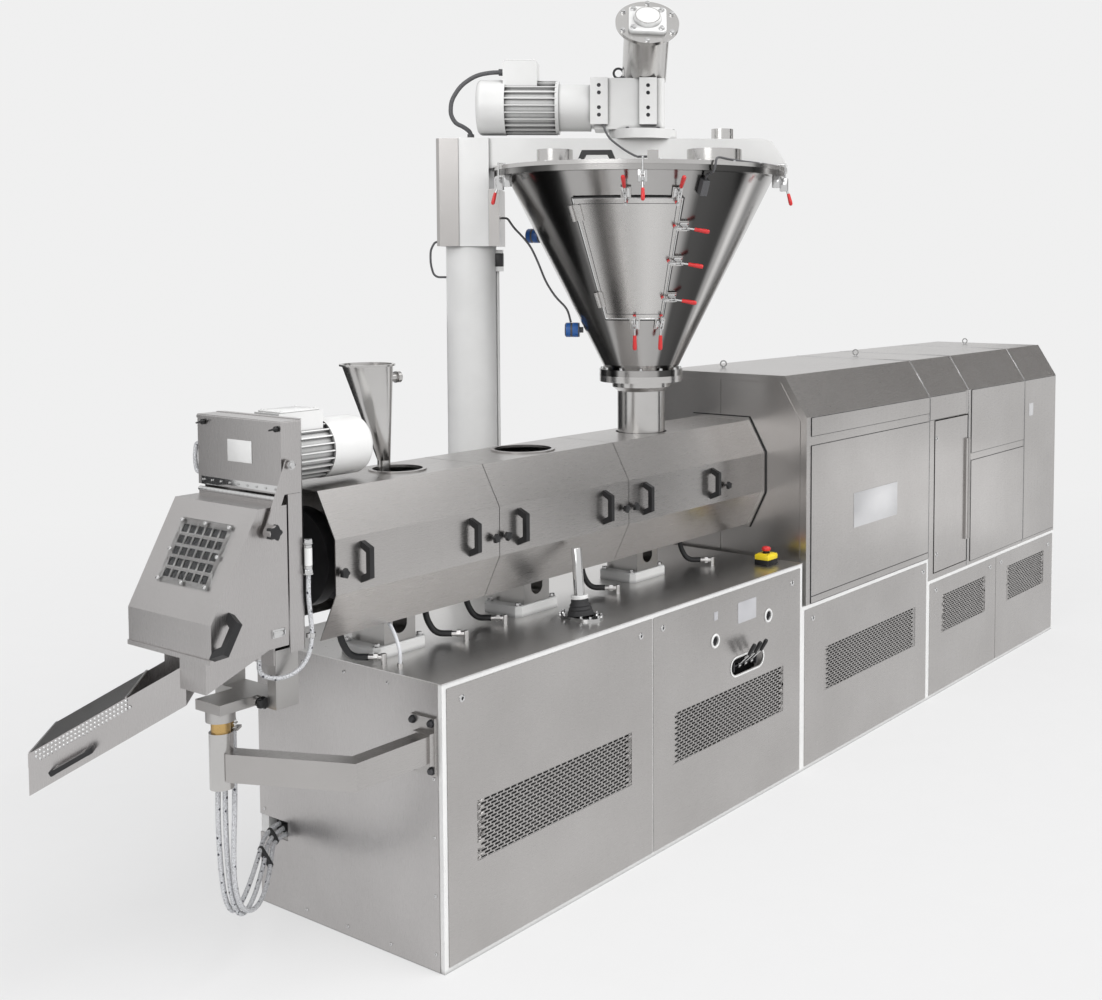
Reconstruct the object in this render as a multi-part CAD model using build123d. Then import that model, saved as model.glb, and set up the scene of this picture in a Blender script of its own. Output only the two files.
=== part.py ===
"""Compounding extruder line: base, drive housing, barrel, feed hopper and face-cut pelletizer.

Frame: millimetres, +X towards the drive end, +Y to the back, +Z up.
The origin is the centre of the base's underside, on the floor.
"""
from build123d import *
from math import atan2, cos, degrees, pi, radians, sin, tan
import os

# base
BASE_L = 5200.0
BASE_W = 910.0
TABLE_Z = 940.0
TABLE_END_X = -408.0
STEP_X = 850.0
LOW_STEP_Z = 740.0
FAR_STEP_Z = 620.0
TUBE = 40.0
SHEET = 3.0
TABLE_T = 3.0
SEAM_1_X = -1503.0
SEAM_2_X = 1717.0
PANEL_GAP = 4.0
PANEL_MARGIN = 18.0
GRILLE_Z = (320.0, 520.0)
GRILLES_X = ((-2448.0, -1635.0), (-1380.0, -568.0), (-222.0, 704.0), (1014.0, 1571.0), (1871.0, 2438.0))
GRILLE_T = 2.0
INLET_Y = (305.0, 460.0)
INLET_Z = (252.0, 318.0)
INLET_PLATE_X = -2560.0

# screwed hose fittings on the table, and the way their hoses leave
FITTINGS = ((-2551.0, -138.0), (-2182.0, -150.0), (-1943.0, -110.0), (-1331.0, -148.0), (-677.0, -155.0))
FITTING_H = 36.0
FITTING_R = 10.0
FITTING_REACH = 50.0
FITTING_AIM = (-0.58, 0.815)
FITTING_Z = TABLE_Z + 24.0
NUT_R = 14.0

# valve slot and ports in the second front panel
PORTS = ((-1089.0, 742.0), (-692.0, 764.0))
PORT_R = 22.0
SLOT_C = (-852.0, 600.0)
SLOT_SIZE = (236.0, 66.0)
LEVERS_X = (-895.0, -850.0, -805.0)
LEVER_PIVOT_Y = -436.0
LEVER_PIN_R = 4.0

# drive housing
HOUSING_X = -375.0
ROOF_Z = 1758.0
FOLD_Z = 1578.0
CHAMFER_Y = 115.0
BAY_END_X = 1324.0
REAR_SEAM_X = 2106.0
SEAM = 2.0
DOOR_X = (915.0, 1310.0)
DOOR_Z = (656.0, 1445.0)
DOOR_T = 20.0
NICHE_DEPTH = 130.0
DOOR_GAP = 6.0
CABINET_HINGE = (1316.0, -464.0)
CABINET_HINGE_Z = (775.0, 1321.0)
CABINET_KNUCKLE_R = 8.0
FRONT_SEAM_Y = 5.0
FRONT_RIM = 30.0
GROOVE = 4.0
SIDE_PANELS = ((-334.0, 844.0, 776.0, 1449.0), (-334.0, 844.0, 1493.0, 1574.0), (-334.0, 844.0, 744.0, 772.0),
               (1366.0, 2100.0, 640.0, 1190.0), (1366.0, 2100.0, 1232.0, 1574.0),
               (2112.0, 2590.0, 640.0, 1574.0), (856.0, 1290.0, 1455.0, 1574.0))

# barrel and its covers
AXIS_Z = 1318.0
BARREL_R = 120.0
BARREL_X = -2780.0
BARREL_FLANGES_X = (-2765.0, -2088.0, -1354.0, -420.0)
BARREL_FLANGE_R = 160.0
COVER_X = (-2818.0, -2088.0, -1354.0, -376.0)
COVER_PROFILE = ((-150.0, 1078.0), (-226.0, 1232.0), (-226.0, 1405.0), (-145.0, 1549.0))
COVER_T = 4.0
COVER_JOINT = 3.0
COLLAR_T = 12.0
COLLAR_OVER = 14.0
PORT_RIM = 14.0
PORT_RIM_H = 5.0
FEED_PORTS = ((-2352.0, 85.0), (-1718.0, 108.0))
FEED_BLOCK_Z = 1440.0
SADDLES_X = (-2425.0, -1735.0, -1044.0)
SADDLE_PLATE = (235.0, 190.0, 40.0)
SADDLE_SIZE = (140.0, 160.0)
SADDLE_SLOT = 64.0
INLET_PAD_Z = 1165.0
HANDLES_X = (-2709.0, -2230.0, -1988.0, -1507.0, -1253.0, -781.0)
HANDLE_L = 133.0
HANDLE_OUT = 42.0
HANDLE_T = 18.0
HANDLE_Z = 1320.0
FUNNEL_X = -2372.0
FUNNEL_LIP_X = -2440.0
FUNNEL_Y = 46.0
FUNNEL_Z = (1580.0, 1915.0)
FUNNEL_R = (22.0, 86.0)
SPIGOT_Z = 1862.0
CLAMP_X = -1704.0
CLAMP_FOOT_Y = -270.0
CLAMP_TOP = (-250.0, 1192.0)
CLAMP_ROD_R = 20.0

# feed hopper, its arm and its drive, in a frame turned to the arm
HOPPER_X = -981.0
HOPPER_TURN = -52.74
CONE_TOP = (553.0, 2608.0)
CONE_FOOT = (152.0, 1815.0)
CONE_T = 4.0
CONE_SLOPE = (CONE_TOP[0] - CONE_FOOT[0]) / (CONE_TOP[1] - CONE_FOOT[1])
CONE_LEAN = degrees(atan2(CONE_TOP[0] - CONE_FOOT[0], CONE_TOP[1] - CONE_FOOT[1]))
RIM_R = 606.0
LID_R = 612.0
LID_Z = 2630.0
LID_T = 16.0
LID_STUBS = ((-340.0, -260.0, 72.0, 2706.0), (296.0, -260.0, 110.0, 2708.0), (350.0, 160.0, 47.0, 2830.0))
LID_HANDLE = (-165.0, -480.0)
LID_HANDLE_L = 150.0
NECK_R = 100.0
THROAT_Z = 1500.0
FOOT_FLANGE_R = 175.0
FOOT_FLANGE_T = 26.0
HATCH_CENTRE = -96.0
HATCH_HALF = 25.0
HATCH_Z = (2030.0, 2506.0)
HATCH_BAND = 22.0
HATCH_OFF = 6.0
HATCH_T = 6.0
HINGES_Z = (2080.0, 2420.0)
HINGE_L = 60.0
HINGE_R = 9.0
SIDE_CLAMPS_Z = (2120.0, 2265.0, 2400.0)
FOOT_CLAMPS = (-95.0, -73.0)
HEAD_CLAMPS = (-96.0, -74.0)
EAR = 40.0
LID_CLAMPS = (-155.0, -89.0, -20.0, 40.0, 100.0)
SENSORS = ((180.0, 1977.0), (160.0, 2374.0))
SENSOR_R = 30.0
SWITCH_ANGLE = -63.0
SWITCH_Z = 2555.0
COLUMN_U = -708.0
COLUMN_R = 104.0
HEAD_Z = 2326.0
HEAD_HALF = 118.0
ARM_TOP_Z = 2768.0
ARM_HALF = 90.0
ARM_TIP_U = 610.0
GEAR_Z = (2806.0, 3014.0)
GEAR_U = (-190.0, 100.0)
GEAR_HALF = 90.0
FOOT_PLATES_U = (-205.0, -4.0)
FOOT_PLATE_W = 72.0
FOOT_PLATE_HALF = 112.0
FOOT_HOLES_Z = (2862.0, 2892.0, 2952.0, 2982.0)
FOOT_HOLE_R = 8.0
FINS = 24
DRUM_R = 141.0
MOTOR_Z = 2900.0
MOTOR_R = 114.0
MOTOR_U = (-674.0, -336.0)
COWL_END_U = -556.0
BEARING_AIM = (0.05, -0.75, 0.66)
BEARING_R = 92.0
BEARING_L = 300.0
BEARING_FLANGE_R = 128.0

# pelletizer on its swing arm
POST_X = -3080.0
POST_Z = (660.0, 834.0)
SLEEVE_R = 36.0
BUSH_R = 29.0
PIN_R = 24.0
PIN_GAP = 0.05
ARM_Z = (688.0, 775.0)
ARM_W = 60.0
ARM_ELBOW = (-2902.0, -393.0)
ARM_PLATE_Y = (-433.0, -325.0)
ARM_PLATE_Z = (643.0, 828.0)
CUTTER_HALF = 202.0
PLATE_X = (-2926.0, -2906.0)
PLATE_EDGE = 18.0
PLATE_Z = 1085.0
BOX_X = -2996.0
BOX_Z = (1566.0, 1785.0)
HOOD_TOP = (-3081.0, 1535.0)
HOOD_FOOT = (-3250.0, 1225.0)
HOOD_Z = 1111.0
HOOD_BACK_X = -2980.0
HOOD_T = 3.0
HOOD_HINGE = (-3004.0, 1553.0)
HOOD_HINGE_R = 7.0
HOOD_HINGE_HALF = 185.0
WINDOW = (246.0, 202.0)
WINDOW_AT = (-4.0, -16.0)
WINDOW_T = 8.0
WINDOW_PANES = (6, 5)
PANE = (28.0, 25.0)
PANE_PITCH = (36.5, 35.0)
STAY_PIVOT = (-2979.0, 1656.0)
STAY_KNOB = (-3055.0, 1466.0)
CUTTER_MOTOR_Z = 1660.0
CUTTER_MOTOR_R = 97.0
CUTTER_MOTOR_X = (-2700.0, -2536.0)
CHUTE_TURN = 135.0
CHUTE_W = 283.0
CHUTE_L = 440.0
CHUTE_H = 122.0
CHUTE_SLOPE = 29.0
CHUTE_START = (-3220.0, -34.0, 1079.0)
CHUTE_BOARD = 115.0
SCREEN_START = 165.0
SCREEN_SKIRT = 38.0
TROUGH_HALF = 148.0
TROUGH_X = (-3232.0, -2993.0)
TROUGH_Z = (1010.0, 1105.0)

# hoses: share of a run that an arc may use, diameters and routes
ARC_SHARE = 0.45
DRAIN_D = 16.0
CLIP_TURN = 35.4
DRAIN_PLATE_Z = (826.0, 834.0)
DRAIN_NIPPLE_TOP = 864.0
DRAIN_TOPS = ((-3057.0, 50.0), (-3043.0, 34.0), (-3030.0, 5.0))
DRAIN_ROUTES = (
    ((-3057, 50, 826), (-3057, 50, 695), (-3061, 51, 545), (-3055, 52, 390), (-3033, 62, 262),
     (-2972, 98, 194), (-2872, 172, 208), (-2765, 255, 258), (-2645, 362, 301), (-2560, 362, 301)),
    ((-3043, 34, 826), (-3043, 34, 695), (-3047, 33, 545), (-3043, 32, 385), (-3018, 44, 250),
     (-2955, 82, 182), (-2858, 152, 190), (-2752, 241, 240), (-2645, 344, 286), (-2560, 344, 286)),
    ((-3030, 5, 826), (-3030, 5, 695), (-3034, 4, 560), (-3041, 6, 430), (-3030, 16, 310), (-2982, 44, 222),
     (-2898, 90, 182), (-2798, 168, 192), (-2705, 260, 242), (-2645, 325, 271), (-2560, 325, 271)),
)
WATER_D = 14.0
COUPLING = (-2912.0, -213.3, 1315.0, 1422.0)
COUPLING_R = 11.0
WATER_ROUTE = ((-2912, -213.3, 1316), (-2914, -213, 1250), (-2906, -212, 1185), (-2898, -209, 1125),
               (-2903, -204, 1075), (-2920, -196, 1035), (-2955, -180, 1008), (-2998, -156, 1002),
               (-3036, -132, 1022), (-3036, -132, 1068))
RETURN_ROUTE = ((-2985, 202.2, 1690), (-2985, 226, 1690), (-2990, 228, 1645), (-2985, 226, 1600),
                (-2985, 202.2, 1600))
CONDUIT_D = 18.0
GLAND_R = 14.0
LEAD_D = 9.0
BARREL_HOSE_D = 22.0
COOLING_D = 12.0
COOLING_ROUTE = ((-2541, -205, 952.2), (-2541, -205, 995), (-2531, -172, 1040), (-2518, -125, 1075),
                 (-2510, -84, 1115), (-2508, -60, 1160), (-2508, -60, 1208))

# leads on the hopper as (u, v, z) in its turned frame
HOPPER_LINES = (
    ("motor conduit", ((-564.5, 0, 3046), (-615, 0, 3046), (-680, 0, 3034), (-745, 0, 2992), (-785, 0, 2928),
                       (-788, 0, 2872), (-768, 0, 2836), (-735, 0, 2822), (-705, 0, 2799), (-705, 0, 2768.5)),
     CONDUIT_D),
    ("gearbox lead", ((-150, -90.3, 2815), (-150, -130, 2815), (-140, -172, 2786), (-122, -220, 2755),
                      (-93, -300, 2726), (-60, -390, 2696), (-24, -480, 2669), (-8, -546, 2658),
                      (0, -582, 2656), (27.8, -582, 2656)), LEAD_D),
    ("sensor lead", ((-577.7, 0, 2444), (-556, 0, 2444), (-530, 0, 2404), (-492, 0, 2366), (-459, 0, 2324),
                     (-430, 0, 2261), (-398, 0, 2177), (-356, 0, 2112), (-308, 0, 2066), (-294, 0, 2008)),
     LEAD_D),
    ("switch lead", ((251.3, -493.3, 2577.8), (255.9, -502.4, 2595), (279, -548, 2600), (286, -560, 2625),
                     (290, -552, 2653), (302, -520, 2660), (344, -466, 2655), (404, -400, 2652),
                     (470, -310, 2652), (518, -218, 2652), (548, -140, 2654), (548, -90.3, 2654)), LEAD_D),
    ("column lead", ((-834.3, 0, 2345), (-858, 0, 2345), (-877, 0, 2312), (-878, 0, 2252), (-862, 0, 2198),
                     (-812.8, 0, 2198)), LEAD_D),
)

nodes = {}


def block(x0, x1, y0, y1, z0, z1):
    """An upright box between its limits."""
    size = Box(x1 - x0, y1 - y0, z1 - z0)
    return Pos((x0 + x1) / 2, (y0 + y1) / 2, (z0 + z1) / 2) * size


def prism_x(points, x0, x1):
    """A (y, z) outline drawn out along X."""
    face = Plane.YZ * Polygon(*points, align=None)
    return Pos(x0, 0, 0) * extrude(face, amount=x1 - x0, dir=(1, 0, 0))


def prism_y(points, y0, y1):
    """An (x, z) outline drawn out along Y."""
    face = Plane.XZ * Polygon(*points, align=None)
    return Pos(0, y0, 0) * extrude(face, amount=y1 - y0, dir=(0, 1, 0))


def prism_z(points, z0, z1):
    """An (x, y) outline drawn up along Z."""
    return Pos(0, 0, z0) * extrude(Polygon(*points, align=None), amount=z1 - z0, dir=(0, 0, 1))


def disc(radius, x, y, z0, z1):
    """An upright cylinder."""
    return Pos(x, y, (z0 + z1) / 2) * Cylinder(radius, z1 - z0)


def rod_x(radius, x0, x1, y, z):
    """A cylinder along X."""
    return Pos((x0 + x1) / 2, y, z) * Rot(0, 90, 0) * Cylinder(radius, x1 - x0)


def rod_y(radius, x, y0, y1, z):
    """A cylinder along Y."""
    return Pos(x, (y0 + y1) / 2, z) * Rot(90, 0, 0) * Cylinder(radius, y1 - y0)


def rod(start, end, radius):
    """A cylinder between two points."""
    run = Vector(*end) - Vector(*start)
    plane = Plane(origin=start, z_dir=run)
    return plane * Pos(0, 0, run.length / 2) * Cylinder(radius, run.length)


def turned(profile, arc=360.0):
    """An (r, z) outline turned about the Z axis."""
    return revolve(Plane.XZ * Polygon(*profile, align=None), Axis.Z, arc)


def bridge_handle(length, standoff, thick):
    """A bridge handle along Z, with its feet on the plane y = 0 and its bar towards -Y."""
    foot = thick * 1.2
    bend = thick * 1.9
    outer = [(0, -length / 2), (-standoff, -length / 2 + thick), (-standoff, length / 2 - thick),
             (0, length / 2)]
    inner = [(0, -length / 2 + foot), (-standoff + thick, -length / 2 + bend),
             (-standoff + thick, length / 2 - bend), (0, length / 2 - foot)]
    return prism_x(outer, -thick / 2, thick / 2) - prism_x(inner, -thick, thick)


def hose(name, points, diameter):
    """A round hose on straight runs joined by the largest tangent arcs that they allow."""
    route = [Vector(*p) for p in points]
    radii = []
    for a, b, c in zip(route, route[1:], route[2:]):
        turn = (b - a).get_angle(c - b)
        run = min((b - a).length, (c - b).length)
        radii.append(ARC_SHARE * run / tan(radians(turn / 2)))
    path = FilletPolyline(*route, radius=radii)
    solid = sweep(Plane(origin=route[0], z_dir=route[1] - route[0]) * Circle(diameter / 2), path)
    share = solid.volume / (pi * diameter ** 2 / 4 * path.length)
    print(name, f"length {path.length:.0f} mm, volume share {share:.3f}, radii", [round(r) for r in radii])
    return solid


def base():
    """White tube frame, table top with its fittings, lower panels and their grilles."""
    half_l = BASE_L / 2
    half_w = BASE_W / 2
    out_y = half_w - SHEET
    out_x = half_l - SHEET
    under = TABLE_Z - TABLE_T
    bays = ((-out_x, TABLE_END_X, under), (TABLE_END_X, STEP_X, LOW_STEP_Z), (STEP_X, out_x, FAR_STEP_Z))
    frame = block(-TUBE / 2, TUBE / 2, -out_y, out_y, 0, TUBE)
    for x0, x1, top in bays:
        hollow = block(x0 + TUBE, x1 - TUBE, -out_y + TUBE, out_y - TUBE, -1, top + 1)
        sides = block(x0 + TUBE, x1 - TUBE, -half_w, half_w, TUBE, top - TUBE)
        ends = block(x0 - 1, x1 + 1, -out_y + TUBE, out_y - TUBE, TUBE, top - TUBE)
        frame += block(x0, x1, -out_y, out_y, 0, top) - hollow - sides - ends
    for seam, top in ((SEAM_1_X, under), (SEAM_2_X, FAR_STEP_Z)):
        for y0 in (-out_y, out_y - TUBE):
            frame += block(seam - TUBE / 2, seam + TUBE / 2, y0, y0 + TUBE, 0, top)
    frame += block(INLET_PLATE_X, INLET_PLATE_X + 6, INLET_Y[0] - 12, out_y - TUBE + 2,
                   INLET_Z[0] - 10, INLET_Z[1] + 10)
    nodes["base_frame"] = frame

    top = block(-half_l, TABLE_END_X, -half_w, half_w, under, TABLE_Z)
    ax, ay = FITTING_AIM
    for x, y in FITTINGS:
        reach = FITTING_REACH - 0.4
        elbow_end = (x + ax * reach, y + ay * reach, FITTING_Z)
        nut = Plane(origin=(x + ax * 18, y + ay * 18, FITTING_Z), z_dir=(ax, ay, 0))
        top += fillet(disc(FITTING_R, x, y, under + 1, TABLE_Z + FITTING_H).edges().group_by(Axis.Z)[-1], 4)
        top += rod((x, y, FITTING_Z), elbow_end, FITTING_R - 1)
        top += nut * extrude(RegularPolygon(NUT_R, 6), amount=14)
    x, y, z = COOLING_ROUTE[0]
    nodes["table_top"] = top + disc(FITTING_R, x, y, under + 1, z - 0.2)

    edges = (-half_l, SEAM_1_X, TABLE_END_X, STEP_X, SEAM_2_X, half_l)
    tops = (under, under, LOW_STEP_Z, FAR_STEP_Z, FAR_STEP_Z)
    at_post_left = (0, 2, 3)
    at_post_right = (1, 2, 4)
    rear = []
    grilles = []
    for i in range(5):
        x0 = edges[i] + PANEL_GAP + (PANEL_MARGIN if i in at_post_left else 0)
        x1 = edges[i + 1] - PANEL_GAP - (PANEL_MARGIN if i in at_post_right else 0)
        z0 = PANEL_MARGIN
        z1 = tops[i] - PANEL_MARGIN
        panel = block(x0, x1, -half_w, -out_y, z0, z1)
        g0, g1 = GRILLES_X[i]
        panel -= block(g0, g1, -half_w - 1, -out_y + 1, *GRILLE_Z)
        if i == 1:
            for px, pz in PORTS:
                panel -= rod_y(PORT_R, px, -half_w - 1, -out_y + 1, pz)
            slot = Plane.XZ * Pos(*SLOT_C, 0) * SlotOverall(*SLOT_SIZE)
            panel -= Pos(0, -half_w - 1, 0) * extrude(slot, amount=SHEET + 2, dir=(0, 1, 0))
        nodes[f"front_panel_{i + 1}"] = panel
        grilles.append(block(g0, g1, -half_w, -half_w + GRILLE_T, *GRILLE_Z))
        rear.append(block(x0, x1, out_y, half_w, z0, z1))
    edge_y = out_y - PANEL_MARGIN
    rear.append(block(out_x, half_l, -edge_y, edge_y, PANEL_MARGIN, FAR_STEP_Z - PANEL_MARGIN))
    nodes["front_grilles"] = Compound(children=grilles)
    nodes["rear_panels"] = Compound(children=rear)
    end = block(-half_l, -out_x, -edge_y, half_w, PANEL_GAP, under)
    nodes["end_panel"] = end - block(-half_l - 1, -out_x + 1, *INLET_Y, *INLET_Z)


def valve_levers():
    """Three hand levers on a valve block behind the slot."""
    x0 = SLOT_C[0] - 90
    x1 = SLOT_C[0] + 80
    pivot_z = SLOT_C[1] - 4
    ear = 8
    bank = block(-1000, -700, -390, -360, pivot_z - 60, pivot_z + 60)
    bank += block(-1020, -680, -362, -340, pivot_z - 80, pivot_z + 80)
    for x in (x0, x1):
        bank += block(x, x + ear, -446, -389, pivot_z - 20, pivot_z + 20)
    nodes["valve_bank"] = bank + rod_x(LEVER_PIN_R, x0, x1 + ear, LEVER_PIVOT_Y, pivot_z)
    for i, x in enumerate(LEVERS_X):
        bore = rod_x(LEVER_PIN_R + PIN_GAP, x - 9, x + 9, LEVER_PIVOT_Y, pivot_z)
        hub = rod_x(11, x - 8, x + 8, LEVER_PIVOT_Y, pivot_z) - bore
        stem = rod((x, LEVER_PIVOT_Y - 8, pivot_z + 7), (x, -492, pivot_z + 52), 4)
        grip = rod((x, -490, pivot_z + 50), (x, -520, pivot_z + 100), 9)
        nodes[f"valve_lever_{i + 1}"] = hub + stem + grip


def housing_section(bottom, inset=0.0):
    """The housing's outline with chamfered shoulders."""
    half = BASE_W / 2 - SHEET - inset
    top = ROOF_Z - inset
    shoulder = half - CHAMFER_Y + inset * 0.4
    left = [(-half, bottom), (-half, FOLD_Z - inset * 0.5), (-shoulder, top)]
    return left + [(-y, z) for y, z in reversed(left)]


def drive_housing():
    """Four housing bays, their side panels and the hinged cabinet door."""
    half = BASE_W / 2
    out = half - SHEET
    front = prism_x(housing_section(LOW_STEP_Z), HOUSING_X, STEP_X - SEAM / 2)
    rim = prism_x(housing_section(LOW_STEP_Z - 1, FRONT_RIM), HOUSING_X - 1, HOUSING_X + GROOVE)
    inner = housing_section(LOW_STEP_Z - 2, FRONT_RIM + GROOVE)
    field = prism_x(inner, HOUSING_X - 2, HOUSING_X + GROOVE + 1)
    front -= rim - field
    front -= block(HOUSING_X - 1, HOUSING_X + GROOVE, FRONT_SEAM_Y - 1.5, FRONT_SEAM_Y + 1.5, LOW_STEP_Z - 1,
                   ROOF_Z - FRONT_RIM)
    nodes["housing_front"] = front

    niche_y = -out + NICHE_DEPTH
    low = DOOR_Z[0] - DOOR_GAP
    high = DOOR_Z[1] + DOOR_GAP
    bay = prism_x(housing_section(FAR_STEP_Z), STEP_X + SEAM / 2, BAY_END_X - SEAM / 2)
    bay -= block(STEP_X - 1, BAY_END_X + 1, -half, niche_y, low, high)
    bay += block(STEP_X + SEAM / 2, DOOR_X[0] - DOOR_GAP, -out, niche_y, low - 1, high + 1)
    bay += block(DOOR_X[1] + DOOR_GAP, BAY_END_X - SEAM / 2, -out + DOOR_T, niche_y, low - 1, high + 1)
    nodes["housing_door_bay"] = bay
    section = housing_section(FAR_STEP_Z)
    nodes["housing_middle"] = prism_x(section, BAY_END_X + SEAM / 2, REAR_SEAM_X - SEAM / 2)
    nodes["housing_end"] = prism_x(section, REAR_SEAM_X + SEAM / 2, BASE_L / 2)
    panels = []
    for x0, x1, z0, z1 in SIDE_PANELS:
        for y0, y1 in ((-half, -out), (out, half)):
            panels.append(block(x0, x1, y0, y1, z0, z1))
    nodes["housing_panels"] = Compound(children=panels)
    hx, hy = CABINET_HINGE
    door = block(*DOOR_X, -half, -half + DOOR_T, *DOOR_Z)
    door += disc(CABINET_KNUCKLE_R, hx, hy, *CABINET_HINGE_Z)
    nodes["cabinet_door"] = door + block(DOOR_X[1] - 30, hx, hy - 1, -half + 1, *CABINET_HINGE_Z)


def octagon(over=0.0):
    """The covers' outline, grown by an even border."""
    low, waist, shoulder, top = COVER_PROFILE
    left = [(low[0] - over * 0.6, low[1] - over * 0.8), (waist[0] - over, waist[1] - over * 0.3),
            (shoulder[0] - over, shoulder[1] + over * 0.5), (top[0] - over * 0.6, top[1] + over)]
    return left + [(-y, z) for y, z in reversed(left)]


def cover_hollow():
    """The space inside the covers, open below."""
    low, waist, shoulder, top = COVER_PROFILE
    left = [(low[0] + COVER_T, low[1] - 1), (low[0] + COVER_T, low[1]), (waist[0] + COVER_T, waist[1] + 1),
            (shoulder[0] + COVER_T, shoulder[1] - 1), (top[0] + COVER_T * 0.6, top[1] - COVER_T)]
    return left + [(-y, z) for y, z in reversed(left)]


def barrel():
    """Barrel on saddles inside three octagonal covers."""
    top = COVER_PROFILE[-1][1]
    for i in range(3):
        x0 = COVER_X[i]
        x1 = COVER_X[i + 1] - COVER_JOINT
        cover = prism_x(octagon(), x0, x1)
        if i == 2:
            cover += prism_x(octagon(COLLAR_OVER), x1 - COLLAR_T, x1)
        cover -= prism_x(cover_hollow(), x0 - 1, x1 + 1)
        if i < 2:
            x, radius = FEED_PORTS[i]
            cover += disc(radius + PORT_RIM, x, 0, top - 1, top + PORT_RIM_H)
            cover -= disc(radius, x, 0, top - 30, top + 10)
        else:
            cover -= disc(NECK_R + 8, HOPPER_X, 0, top - 30, top + 10)
        nodes[f"barrel_cover_{i + 1}"] = cover

    body = rod_x(BARREL_R, BARREL_X, HOUSING_X, 0, AXIS_Z)
    for x in BARREL_FLANGES_X:
        body += rod_x(BARREL_FLANGE_R, x - 25, x + 25, 0, AXIS_Z)
    for x, radius in FEED_PORTS:
        body += block(x - radius, x + radius, -radius, radius, AXIS_Z, FEED_BLOCK_Z)
    for start, end in barrel_hose_ends():
        body += block(end[0] - 24, end[0] + 24, end[1] - 24, end[1] + 24, INLET_PAD_Z, AXIS_Z - 90)
    body += block(HOPPER_X - 140, HOPPER_X + 140, -140, 140, AXIS_Z, THROAT_Z)
    nodes["barrel"] = body - disc(NECK_R - 6, HOPPER_X, 0, AXIS_Z + 60, THROAT_Z + 1)

    blocks = []
    plates = []
    length, width, height = SADDLE_PLATE
    long_half = SADDLE_SIZE[0] / 2
    for x in SADDLES_X:
        plate = block(x - length / 2, x + length / 2, -width / 2, width / 2, TABLE_Z, TABLE_Z + height)
        plate = chamfer(plate.edges().filter_by(Axis.Z), 18)
        plates.append(chamfer(plate.edges().group_by(Axis.Z)[-1], 5))
        saddle = block(x - long_half, x + long_half, -SADDLE_SIZE[1] / 2, SADDLE_SIZE[1] / 2,
                       TABLE_Z + height, AXIS_Z - 60)
        saddle -= rod_x(BARREL_R, x - long_half - 1, x + long_half + 1, 0, AXIS_Z)
        saddle -= rod_y(SADDLE_SLOT / 2, x, -100, 100, TABLE_Z + height + 60)
        saddle -= block(x - SADDLE_SLOT / 2, x + SADDLE_SLOT / 2, -100, 100, TABLE_Z + height + 60, AXIS_Z)
        blocks.append(saddle)
    nodes["saddle_plates"] = Compound(children=plates)
    nodes["barrel_saddles"] = Compound(children=[s for b in blocks for s in b.solids()])

    handles = []
    side_y = COVER_PROFILE[1][0]
    for x in HANDLES_X:
        for turn, y in ((0, side_y), (180, -side_y)):
            handle = bridge_handle(HANDLE_L, HANDLE_OUT, HANDLE_T)
            handles.append(Pos(x, y, HANDLE_Z) * Rot(0, 0, turn) * handle)
    u, v = LID_HANDLE
    lid_handle = Pos(u, v, LID_Z + LID_T) * Rot(0, 0, -6) * Rot(0, 90, 0) * Rot(0, 0, -90)
    lid_handle = lid_handle * bridge_handle(LID_HANDLE_L, HANDLE_OUT, HANDLE_T)
    handles.append(hopper_place() * lid_handle)
    nodes["cover_handles"] = Compound(children=handles)


def barrel_hose_ends():
    """Where each barrel hose leaves its fitting on the table, and where it meets the barrel's underside."""
    ends = []
    ax, ay = FITTING_AIM
    for x, y in FITTINGS:
        start = (x + ax * FITTING_REACH, y + ay * FITTING_REACH, FITTING_Z)
        ends.append((start, (x - 90, y + 110, INLET_PAD_Z)))
    return ends


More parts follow.
